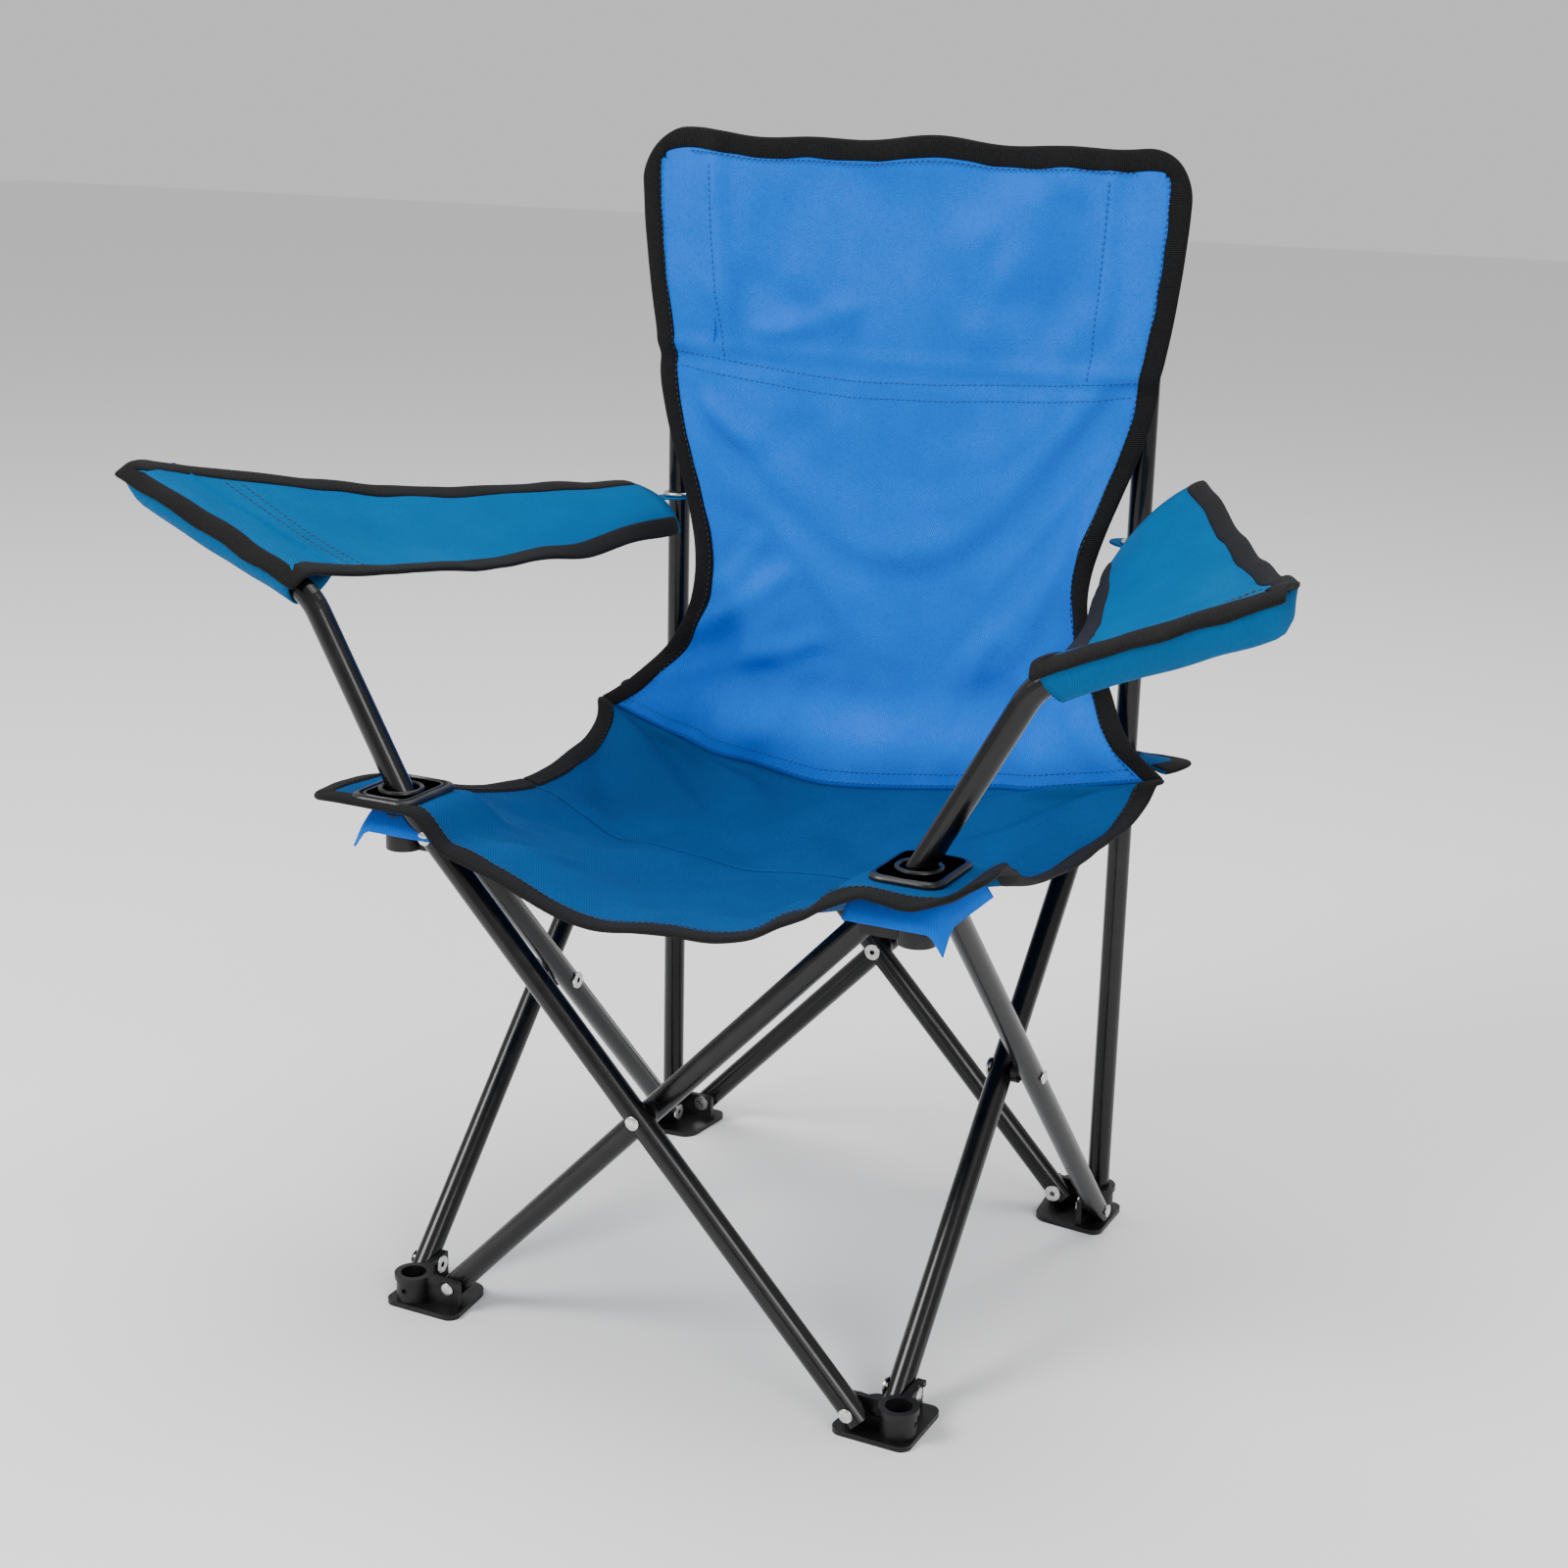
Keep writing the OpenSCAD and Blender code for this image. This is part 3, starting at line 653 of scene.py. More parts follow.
@dataclass
class Cloth:
    """A piece of cloth kept as rows of points, so that tapes and stitches can follow it."""

    points: Array
    flat: Array

    def relax(self, free: Array, frames: int, grow: float, cap: float) -> None:
        """Lets the cloth crumple a little: a simulation in which it is slightly too large for where it is held.

        Args:
            free: How free each point is, from 0, held, to 1.
            frames: Number of steps.
            grow: Share by which the cloth is too large.
            cap: Most that a point may move, in metres.
        """
        piece = grid_piece("relaxing", self.points, self.flat)
        rows, columns = self.points.shape[:2]
        held = piece.vertex_groups.new(name="held")
        for index, weight in enumerate((1.0 - free).reshape(-1)):
            held.add([index], float(weight), "REPLACE")
        cloth = piece.modifiers.new("cloth", "CLOTH")
        setting = cloth.settings
        setting.quality = 8
        setting.mass = 0.25
        setting.tension_stiffness = setting.compression_stiffness = 40.0
        setting.shear_stiffness = 15.0
        setting.bending_stiffness = 1.2
        setting.vertex_group_mass = "held"
        setting.pin_stiffness = 1.0
        setting.shrink_min = -grow
        setting.effector_weights.gravity = 0.15
        cloth.point_cache.frame_start, cloth.point_cache.frame_end = 1, frames
        scene = bpy.context.scene
        for step in range(1, frames + 1):
            scene.frame_set(step)
        ready = piece.evaluated_get(bpy.context.evaluated_depsgraph_get())
        after = np.array([v.co for v in ready.data.vertices])
        scene.frame_set(1)
        moved = after - self.points.reshape(-1, 3)
        far = np.linalg.norm(moved, axis=1, keepdims=True)
        moved = (moved * np.minimum(1.0, cap / np.maximum(far, 1e-9))).reshape(self.points.shape)
        for _ in range(3):
            inner = moved[1:-1, 1:-1]
            moved[1:-1, 1:-1] = 0.4 * inner + 0.15 * (moved[2:, 1:-1] + moved[:-2, 1:-1] + moved[1:-1, 2:] + moved[1:-1, :-2])
        self.points = self.points + moved * smoothstep(free / 0.25)[..., None]
        bpy.data.objects.remove(piece)
        log.info("cloth relaxed: %d x %d points, largest move %.1f mm", rows, columns, 1000 * float(far.max()))

    def part(self, rows: slice) -> "Cloth":
        """Some of the cloth's rows as a cloth of their own."""
        return Cloth(self.points[rows], self.flat[rows])

    def size(self) -> tuple[float, float, float]:
        """The cut's width, length and area, measured along the cloth, in metres."""
        across = np.linalg.norm(np.diff(self.points, axis=1), axis=2).sum(1).max()
        along = np.linalg.norm(np.diff(self.points, axis=0), axis=2).sum(0).max()
        du, dv = np.diff(self.points, axis=1)[:-1], np.diff(self.points, axis=0)[:, :-1]
        area = float(np.linalg.norm(np.cross(du, dv), axis=2).sum())
        return float(across), float(along), min(area, 0.999 * float(across * along))

    def plan_size(self) -> tuple[float, float, float]:
        """The width, length and area of a cut whose rows are rings, in metres."""
        area = self.size()[2]
        width, length = np.ptp(self.points[..., 0]), np.ptp(self.points[..., 1])
        return float(width), float(length), min(area, 0.999 * float(width * length))

    def rim(self, spots: list[tuple[int, int]], reach: int, low: int = 0, high: int = 0) -> tuple[Array, Array]:
        """The cloth along its edge, as short ladders that lead inwards over its surface.

        Args:
            spots: Row and column of each edge point.
            reach: How many columns inwards a ladder goes.
            low: The same for rows at the first row, or 0 where that edge has no tape.
            high: The same for rows at the last row.

        Returns:
            For each spot, the ladder's points and the normals there.
        """
        rows, columns = self.points.shape[:2]
        up_all = normals(self.points)
        steps = np.linspace(0.0, 1.0, 7)
        ladders, ups = [], []
        for r, c in spots:
            end = (min(max(r, low), rows - 1 - high), min(max(c, reach), columns - 1 - reach))
            rungs = [self.read(self.points, r + (end[0] - r) * k, c + (end[1] - c) * k) for k in steps]
            ladders.append(rungs)
            ups.append([self.read(up_all, r + (end[0] - r) * k, c + (end[1] - c) * k) for k in steps])
        return np.array(ladders), unit(np.array(ups))

    @staticmethod
    def read(data: Array, row: float, column: float) -> Array:
        """Reads a grid between its points."""
        r, c = min(int(row), data.shape[0] - 2), min(int(column), data.shape[1] - 2)
        fr, fc = row - r, column - c
        return (data[r, c] * (1 - fc) + data[r, c + 1] * fc) * (1 - fr) + (data[r + 1, c] * (1 - fc) + data[r + 1, c + 1] * fc) * fr

    def line(self, row: float | None = None, column: float | None = None, span: tuple[float, float] = (0.0, 1.0)) -> tuple[Array, Array]:
        """Points along a row or a column, just over the cloth, for stitches.

        Args:
            row: The row as a share of the cloth's rows, if the line is a row.
            column: The column as a share, if it is a column.
            span: Start and end of the line as shares.

        Returns:
            The points and the normals there.
        """
        rows, columns = self.points.shape[:2]
        steps = np.linspace(span[0], span[1], 90)
        r = np.full(90, row) if row is not None else steps
        c = steps if row is not None else np.full(90, column)
        r, c = r * (rows - 1), c * (columns - 1)
        r0, c0 = np.clip(r.astype(int), 0, rows - 2), np.clip(c.astype(int), 0, columns - 2)
        fr, fc = (r - r0)[:, None], (c - c0)[:, None]
        up_all = normals(self.points)

        def at(data: Array) -> Array:
            """Reads grid data between its points."""
            return ((data[r0, c0] * (1 - fc) + data[r0, c0 + 1] * fc) * (1 - fr)
                    + (data[r0 + 1, c0] * (1 - fc) + data[r0 + 1, c0 + 1] * fc) * fr)

        up = unit(at(up_all))
        return at(self.points) + up * 0.0008, up


@dataclass
class Cover:
    """The seat and back: one scooped cover of twill between the front hubs, the rear corners and the uprights' tops."""

    front: float = field(init=False)
    split: float = field(init=False)
    seam: float = field(init=False)
    top: float = field(init=False)
    seat_z: float = field(init=False)
    seat_half: float = field(init=False)
    back_half: float = field(init=False)
    waist_half: float = 0.125
    waist_z: float = 0.392
    band_z: float = 0.5
    corner: float = 0.028
    columns: int = 97
    seat_rows: int = 85
    back_rows: int = 101
    wall: float = 0.0011
    back_folds: tuple[Fold, ...] = (
        Fold((-0.145, 0.318), (-0.06, 0.372), 0.0065, 0.009),
        Fold((-0.150, 0.300), (-0.035, 0.335), 0.0055, 0.008),
        Fold((-0.120, 0.262), (-0.100, 0.345), -0.0055, 0.010),
        Fold((-0.112, 0.352), (-0.080, 0.395), 0.0040, 0.008),
        Fold((-0.085, 0.262), (-0.055, 0.322), 0.0040, 0.010),
        Fold((0.118, 0.425), (0.128, 0.330), 0.0055, 0.008),
        Fold((0.100, 0.440), (0.060, 0.300), -0.0040, 0.013),
        Fold((0.045, 0.262), (0.052, 0.352), 0.0035, 0.010),
        Fold((0.150, 0.290), (0.075, 0.330), 0.0045, 0.011),
        Fold((-0.020, 0.415), (0.055, 0.438), 0.0030, 0.014),
        Fold((-0.100, 0.508), (-0.020, 0.528), 0.0045, 0.007),
        Fold((-0.105, 0.545), (-0.045, 0.515), -0.0035, 0.011),
        Fold((0.015, 0.560), (0.100, 0.600), 0.0050, 0.012),
        Fold((0.030, 0.535), (0.115, 0.545), -0.0040, 0.014),
        Fold((0.045, 0.510), (0.050, 0.580), 0.0035, 0.012),
        Fold((-0.120, 0.625), (-0.110, 0.505), 0.0040, 0.006),
        Fold((0.124, 0.625), (0.120, 0.510), 0.0035, 0.006),
        Fold((-0.060, 0.628), (0.010, 0.600), 0.0030, 0.013),
        Fold((0.080, 0.634), (0.105, 0.590), 0.0040, 0.009),
        Fold((-0.125, 0.470), (-0.085, 0.440), 0.0045, 0.008),
        Fold((-0.118, 0.430), (-0.050, 0.460), -0.0030, 0.013),
    )
    seat_folds: tuple[Fold, ...] = (
        Fold((-0.125, -0.105), (-0.035, 0.010), 0.0050, 0.013),
        Fold((-0.150, -0.060), (-0.075, 0.055), -0.0040, 0.012),
        Fold((0.120, -0.095), (0.050, -0.010), 0.0050, 0.013),
        Fold((0.090, -0.165), (0.065, -0.085), 0.0050, 0.010),
        Fold((-0.095, -0.165), (-0.060, -0.080), 0.0045, 0.012),
        Fold((-0.175, 0.128), (-0.070, 0.060), 0.0060, 0.010),
        Fold((-0.178, 0.110), (-0.110, 0.020), -0.0045, 0.012),
        Fold((-0.150, 0.140), (-0.050, 0.095), 0.0045, 0.009),
        Fold((0.175, 0.128), (0.070, 0.060), 0.0060, 0.010),
        Fold((0.178, 0.105), (0.120, 0.010), -0.0045, 0.012),
        Fold((0.150, 0.140), (0.050, 0.100), 0.0045, 0.009),
        Fold((-0.020, 0.130), (0.010, 0.020), 0.0028, 0.016),
    )

    def __post_init__(self) -> None:
        """Takes the cover's place from the frame."""
        low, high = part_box("seat_front")
        self.front, self.split, self.seat_z, self.seat_half = low.y, high.y, high.z - 0.002, high.x
        self.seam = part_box("seat_rear")[1].y
        self.back_low, self.back_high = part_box("back_panel")
        self.top, self.back_half = self.back_high.z, self.back_high.x - 0.007

    def seat_width(self, y: Array) -> Array:
        """Half the seat's width at a depth y."""
        return self.seat_half - 0.020 * bowl(y - 0.010, 0.150)

    def back_width(self, z: Array) -> Array:
        """Half the back's width at a height z."""
        upper = self.back_half - 0.013 * ((self.top - z) / (self.top - self.band_z)) ** 2
        middle = self.waist_half + (self.back_half - 0.013 - self.waist_half) * smoothstep((z - self.waist_z) / (self.band_z - self.waist_z))
        lower = self.waist_half + 0.056 * ((self.waist_z - z) / (self.waist_z - self.seat_z)) ** 2
        return np.where(z > self.band_z, upper, np.where(z > self.waist_z, middle, lower))

    def front_z(self, x: Array) -> Array:
        """Height of the seat's front edge."""
        base = self.seat_z - 0.040 * bowl(x - 0.004, 0.126)
        return base + 0.012 * smoothstep((x - 0.150) / 0.04) + 0.002 * np.sin(x * 70.0) - 0.004 * bowl(x + 0.120, 0.05)

    def seam_z(self, x: Array) -> Array:
        """Height of the seam between seat and back."""
        off = x + 0.035
        share = np.where(off < 0.0, -off / 0.152, off / 0.222)
        return self.seat_z - 0.046 + 0.039 * np.clip(share, 0.0, 1.0) ** 1.45

    def seat_cloth(self) -> Cloth:
        """The seat as rows from the front edge to the seam."""
        a = np.linspace(-1.0, 1.0, self.columns)
        t = np.linspace(0.0, 1.0, self.seat_rows)
        aa, tt = np.meshgrid(a, t)
        y = self.front + (self.seam - self.front) * tt
        x = aa * self.seat_width(y)
        x, y = self.rounded(x, y, 0.018, self.seat_width(np.array(self.front)), self.front, 1.0)
        share = smoothstep((y - self.front) / (self.seam - self.front))
        z = self.front_z(x) * (1 - share) + self.seam_z(x) * share
        z = z - 0.024 * bowl(y - 0.010, 0.125) * (1 - 0.5 * bowl(x, 0.116))
        for fold in self.seat_folds:
            z = z + fold.rise(x, y)
        for side in Side:
            low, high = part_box(f"grommet_{side.word}")
            away_x = np.clip(np.abs(x - (low.x + high.x) / 2) - (high.x - low.x) / 2, 0.0, None)
            away_y = np.clip(np.abs(y - (low.y + high.y) / 2) - (high.y - low.y) / 2, 0.0, None)
            away = np.maximum(away_x, away_y)
            share = smoothstep(1.0 - away / 0.022)
            z = z + (low.z - 0.0009 - z) * share
        rim = smoothstep((np.abs(aa) - 0.93) / 0.07)
        points = np.stack([x, y, z], axis=-1)
        waves = 0.0016 * rim * wander(points, 26.0, 4.0) + 0.0012 * wander(points, 17.0, 9.0)
        points[..., 2] += waves * smoothstep(np.abs(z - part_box("grommet_left")[0].z + 0.0009) / 0.002)
        return Cloth(points, np.stack([x, y], axis=-1))

    def rounded(self, x: Array, b: Array, radius: float, half: float, edge: float, way: float) -> tuple[Array, Array]:
        """Rounds the two corners of a cut.

        Args:
            x: Sideways plan coordinate.
            b: Plan coordinate across the edge.
            radius: Corner radius.
            half: Half the width at the edge.
            edge: The edge's plan coordinate.
            way: 1 if the cloth lies beyond the edge, -1 if before it.

        Returns:
            The two plan coordinates after rounding.
        """
        u = np.clip((np.abs(x) - (half - radius)) / radius, 0.0, None)
        v = np.clip(1.0 - way * (b - edge) / radius, 0.0, None)
        inside = (u > 0) & (v > 0)
        u2 = np.where(inside, u * np.sqrt(np.clip(1 - v * v / 2, 0, 1)), u)
        v2 = np.where(inside, v * np.sqrt(np.clip(1 - np.minimum(u, 1) ** 2 / 2, 0, 1)), v)
        new_x = np.where(inside, np.sign(x) * (half - radius + u2 * radius), x)
        new_b = np.where(inside, edge + way * radius * (1 - v2), b)
        return new_x, new_b

    def back_cloth(self) -> Cloth:
        """The back as rows from the seam to the top edge."""
        a = np.linspace(-1.0, 1.0, self.columns)
        t = np.linspace(0.0, 1.0, self.back_rows)
        aa, tt = np.meshgrid(a, t)
        level = self.seat_z + (self.top - self.seat_z) * tt
        x = aa * self.back_width(level)
        x, plan = self.rounded(x, level, self.corner, self.back_half, self.top, -1.0)
        share = (plan - self.seat_z) / (self.top - self.seat_z)
        start = self.seam_z(x)
        z = start + (self.top - start) * share
        z = z + (0.0016 * np.sin(x * 41.0 + 0.9) + 0.0012 * np.sin(x * 83.0)) * smoothstep((share - 0.9) / 0.1)
        first = self.seam - 0.012 - 0.010 * smoothstep((np.abs(x) - 0.075) / 0.03)
        y = first + (self.back_low.y + 0.0012 - first) * smoothstep((z - start - 0.012) / 0.05)
        hollow = bowl(x, 0.12) * smoothstep((z - 0.27) / 0.12) * smoothstep((0.66 - z) / 0.16)
        y = y + 0.010 * hollow
        y = y - 0.007 * smoothstep((np.abs(aa) - 0.72) / 0.28) * bowl(z - 0.39, 0.1)
        for fold in self.back_folds:
            y = y - fold.rise(x, z)
        y = y - 0.0016 * np.exp(-(((z - self.band_z) / 0.0035) ** 2)) + 0.0012 * np.exp(-(((z - self.band_z + 0.008) / 0.004) ** 2))
        points = np.stack([x, y, z], axis=-1)
        points[..., 1] += 0.0016 * wander(points, 14.0, 21.0)
        return Cloth(points, np.stack([x, plan], axis=-1))

    def build(self, wardrobe: Wardrobe) -> None:
        """Makes the seat halves, the back, their bindings, stitches and pockets.

        Args:
            wardrobe: The finishes.
        """
        seat, back = self.seat_cloth(), self.back_cloth()
        gap = back.points[0] - seat.points[-1]
        for r in range(10):
            seat.points[-1 - r] += gap * (1 - smoothstep(r / 10.0))
        cut = int(np.argmin(np.abs(seat.points[:, self.columns // 2, 1] - self.split)))
        rows = np.linspace(0, 1, self.seat_rows)[:, None] * np.ones(self.columns)
        cols = np.abs(np.linspace(-1, 1, self.columns))[None] * np.ones(self.seat_rows)[:, None]
        seat.relax(
            smoothstep((1 - cols) / 0.25) * smoothstep(rows / 0.2) * smoothstep((1 - rows) / 0.2),
            CRUMPLE_FRAMES, CRUMPLE_SLACK, CRUMPLE_LIMIT,
        )
        rows = np.linspace(0, 1, self.back_rows)[:, None] * np.ones(self.columns)
        cols = np.abs(np.linspace(-1, 1, self.columns))[None] * np.ones(self.back_rows)[:, None]
        back.relax(
            smoothstep((1 - cols) / 0.22) * smoothstep(rows / 0.12) * smoothstep((1 - rows) / 0.12),
            CRUMPLE_FRAMES, CRUMPLE_SLACK, CRUMPLE_LIMIT,
        )
        self.seat_points = seat.points
        front_half, rear_half = seat.part(slice(0, cut + 1)), seat.part(slice(cut, None))
        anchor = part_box("upright_left")
        self.anchor = ((anchor[0].x + anchor[1].x) / 2, 0.0, 0.0)
        self.panel(
            "seat_front_cloth", front_half, wardrobe.seat, "seat_front_body", ("seat_front",),
        )
        self.panel(
            "seat_rear_cloth", rear_half, wardrobe.seat, "seat_rear_body", ("seat_rear",),
        )
        self.panel(
            "back_cloth", back, wardrobe.back, "foot_back_left_body", ("back_panel",),
        )
        last = front_half.points.shape[0] - 1
        c1 = self.columns - 1
        around = [(r, 0) for r in range(last, 0, -1)] + [(0, c) for c in range(c1)] + [(r, c1) for r in range(0, last + 1)]
        self.tape("seat_front_tape", front_half.rim(around, 4, low=4), "seat_front_body", ("seat_front_binding",), wardrobe, 1.0)
        last = rear_half.points.shape[0] - 1
        for side, column in ((Side.LEFT, 0), (Side.RIGHT, c1)):
            spots = [(r, column) for r in range(0, last + 1)]
            self.tape(f"seat_rear_tape_{side.word}", rear_half.rim(spots, 4), "seat_rear_body", ("seat_rear_binding",), wardrobe, 2.0 + column)
        last = self.back_rows - 1
        around = [(r, 0) for r in range(0, last)] + [(last, c) for c in range(c1)] + [(r, c1) for r in range(last, -1, -1)]
        self.tape("back_tape", back.rim(around, 4, high=4), "foot_back_left_body", ("back_binding",), wardrobe, 5.0)
        self.stitches(back, front_half, rear_half, wardrobe)
        for side in Side:
            self.pocket(side, wardrobe)
            self.corner_patch(side, wardrobe)
            self.rear_tab(side, wardrobe)

    def fold_away(self, piece: bpy.types.Object, body: str) -> None:
        """Makes a cloth piece ride on a body, with a mesh of its own."""
        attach(piece, body)
        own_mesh(piece)

    def panel(self, name: str, cloth: Cloth, finish: Finish, body: str, nodes: tuple[str, ...]) -> None:
        """Makes one panel of cloth.

        Args:
            name: The piece's name.
            cloth: The cloth.
            finish: Its material.
            body: The body it rides on.
            nodes: The frame's nodes it replaces.
        """
        piece = grid_piece(name, cloth.points, cloth.flat)
        thicken(piece, self.wall)
        piece.data.materials.append(finish)
        self.fold_away(piece, body)
        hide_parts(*nodes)
        width, length, area = cloth.size()
        log.info("%s: %.0f x %.0f mm cut", name, 1000 * width, 1000 * length)

    def tape(self, name: str, rim: tuple[Array, Array], body: str, nodes: tuple[str, ...], wardrobe: Wardrobe, seed: float) -> None:
        """Sews a binding tape on an edge of the cover.

        Args:
            name: The piece's name.
            rim: Ladders over the cloth's edge and the normals there.
            body: The body it rides on.
            nodes: The frame's nodes it replaces.
            wardrobe: The finishes.
            seed: Picks the tape's own unevenness.
        """
        piece = Tape().build(name, *rim, seed)
        piece.data.materials.append(wardrobe.tape)
        self.fold_away(piece, body)
        if nodes:
            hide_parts(*nodes)
        log.info("%s laid", name)

    def stitches(self, back: Cloth, front_half: Cloth, rear_half: Cloth, wardrobe: Wardrobe) -> None:
        """Sews the lines of stitches on the seat and back.

        Args:
            back: The back.
            front_half: The seat's front half.
            rear_half: Its rear half.
            wardrobe: The finishes.
        """
        band = (self.band_z - self.seat_z) / (self.top - self.seat_z)
        tall = self.top - self.seat_z
        lines = [back.line(row=band + d / tall, span=(0.035, 0.965)) for d in (0.0035, -0.0045)]
        lines += [back.line(row=d / tall, span=(0.03, 0.97)) for d in (0.003, 0.009)]
        lines += [back.line(column=c, span=(band + 0.01, 0.96)) for c in (0.135, 0.865)]
        self.sewn("back_stitches", lines, wardrobe.blue_thread, "foot_back_left_body")
        depth = 0.0098 / (self.split - self.front)
        back_edges = [back.line(column=c, span=(0.01, 0.97)) for c in (0.034, 0.966)]
        back_edges.append(back.line(row=0.9665, span=(0.09, 0.91)))
        front_edges = [front_half.line(column=c, span=(0.08, 1.0)) for c in (0.0265, 0.9735)]
        front_edges.append(front_half.line(row=depth, span=(0.06, 0.94)))
        rear_edges = [rear_half.line(column=c, span=(0.0, 0.97)) for c in (0.0265, 0.9735)]
        for part, edges, body in (
            ("back", back_edges, "foot_back_left_body"),
            ("seat_front", front_edges, "seat_front_body"),
            ("seat_rear", rear_edges, "seat_rear_body"),
        ):
            raised = [(p + TAPE_STITCH_LIFT * n, n) for p, n in edges]
            self.sewn(f"{part}_tape_stitches", raised, wardrobe.black_thread, body)

    def sewn(self, name: str, lines: list[tuple[Array, Array]], finish: Finish, body: str) -> None:
        """Makes one piece of stitches.

        Args:
            name: The piece's name.
            lines: Points and normals of each line.
            finish: The thread.
            body: The body it rides on.
        """
        piece = Stitching().build(name, lines)
        piece.data.materials.append(finish)
        self.fold_away(piece, body)
        log.info("%s sewn", name)

    def pocket(self, side: Side, wardrobe: Wardrobe) -> None:
        """Makes the sleeve behind a top corner, in which the upright's end stands.

        Args:
            side: Which side.
            wardrobe: The finishes.
        """
        low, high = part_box(f"back_pocket_{side.word}")
        inner, outer = sorted((abs(low.x), abs(high.x)))
        u = np.linspace(0.0, 1.0, 25)[None]
        t = np.linspace(0.0, 1.0, 33)[:, None]
        level = low.z + (high.z - low.z) * t
        over = np.clip(level - (self.top - self.corner), 0.0, None)
        rounding = self.corner - np.sqrt(np.clip(self.corner ** 2 - over ** 2, 0.0, None))
        far = np.minimum(outer + 0.001, self.back_width(level) - 0.005 - rounding)
        x = inner - 0.003 + (far - inner + 0.003) * u
        z = (level + 0.002 * np.sin(u * 5.0)) * np.ones_like(x)
        bulge = np.clip(np.sin(math.pi * u), 0.0, 1.0) ** 0.62
        y = low.y + 0.0004 + (high.y - low.y) * bulge * (1 - 0.45 * smoothstep((t - 0.86) / 0.14))
        y = y + 0.0007 * np.sin(t * 31.0 + u * 4.0) * bulge
        points = np.stack([side.value * x, y * np.ones_like(x), z], axis=-1)
        if side is Side.RIGHT:
            points = points[:, ::-1]
        piece = grid_piece(f"upright_pocket_{side.word}", points, np.stack([x, z], axis=-1))
        thicken(piece, 0.001)
        piece.data.materials.append(wardrobe.back)
        body = f"foot_back_{side.word}_body"
        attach(piece, body)
        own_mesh(piece)
        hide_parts(f"back_pocket_{side.word}")
        cloth = Cloth(points, points[..., :2])
        width, length, area = cloth.size()

    def corner_patch(self, side: Side, wardrobe: Wardrobe) -> None:
        """Makes the doubler flap under a front corner.

        Args:
            side: Which side.
            wardrobe: The finishes.
        """
        low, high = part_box("seat_corner_patches")
        u = np.linspace(0.0, 1.0, 19)[None]
        v = np.linspace(0.0, 1.0, 19)[:, None]
        x = side.value * (high.x - 0.002 - 0.052 * u) * np.ones_like(v)
        y = low.y + 0.004 + (high.y - low.y) * v * np.ones_like(u)
        z = low.z + 0.0004 - 0.017 * smoothstep((-0.1395 - y) / 0.02)
        z = z - 0.012 * smoothstep((np.abs(x) - 0.1575) / 0.012)
        points = np.stack([x, y, z], axis=-1)
        seat = self.seat_points.reshape(-1, 3)
        for spot in np.ndindex(points.shape[:2]):
            over = seat[np.argmin(((seat[:, :2] - points[spot][:2]) ** 2).sum(1))]
            points[spot][2] = min(points[spot][2], over[2] - FLAP_CLEARANCE)
        if side is Side.RIGHT:
            points = points[:, ::-1]
        piece = grid_piece(f"corner_flap_{side.word}", points, points[..., :2])
        thicken(piece, 0.0012)
        piece.data.materials.append(wardrobe.back)
        self.fold_away(piece, "seat_front_body")
        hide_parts("seat_corner_patches")
        width, length, area = Cloth(points, points[..., :2]).size()

    def rear_tab(self, side: Side, wardrobe: Wardrobe) -> None:
        """Makes the corner of the cover that passes round the foot of an upright, with its binding.

        Args:
            side: Which side.
            wardrobe: The finishes.
        """
        low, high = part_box(f"upright_{side.word}")
        centre = np.array([(low.x + high.x) / 2, (low.y + high.y) / 2])
        s = side.value
        turn = np.linspace(math.radians(-42.0), math.radians(158.0), 33)
        outline = np.stack([centre[0] + s * np.cos(turn) * 0.038, centre[1] + np.sin(turn) * 0.022], axis=-1)
        hole = np.stack([centre[0] + s * np.cos(turn) * 0.0083, centre[1] + np.sin(turn) * 0.0083], axis=-1)
        v = np.linspace(0.0, 1.0, 9)[:, None, None]
        plan = hole[None] * (1 - v) + outline[None] * v
        z = self.seat_z - 0.006 - 0.004 * v[..., 0] + 0.003 * np.cos(turn * 2.0)[None] * v[..., 0]
        points = np.concatenate([plan, z[..., None]], axis=-1)
        if side is Side.RIGHT:
            points = points[:, ::-1]
        piece = grid_piece(f"rear_corner_tab_{side.word}", points, points[..., :2])
        thicken(piece, self.wall)
        piece.data.materials.append(wardrobe.seat)
        self.fold_away(piece, "seat_rear_body")
        width, length, area = Cloth(points, points[..., :2]).plan_size()
        ladders = points[::-1].swapaxes(0, 1)
        ups = np.zeros_like(ladders) + np.array([0.0, 0.0, 1.0])
        self.tape(f"rear_corner_tape_{side.word}", (ladders, ups), "seat_rear_body", (), wardrobe, 11.0 + s)


# ---------------------------------------------------------------- armrests and grommets


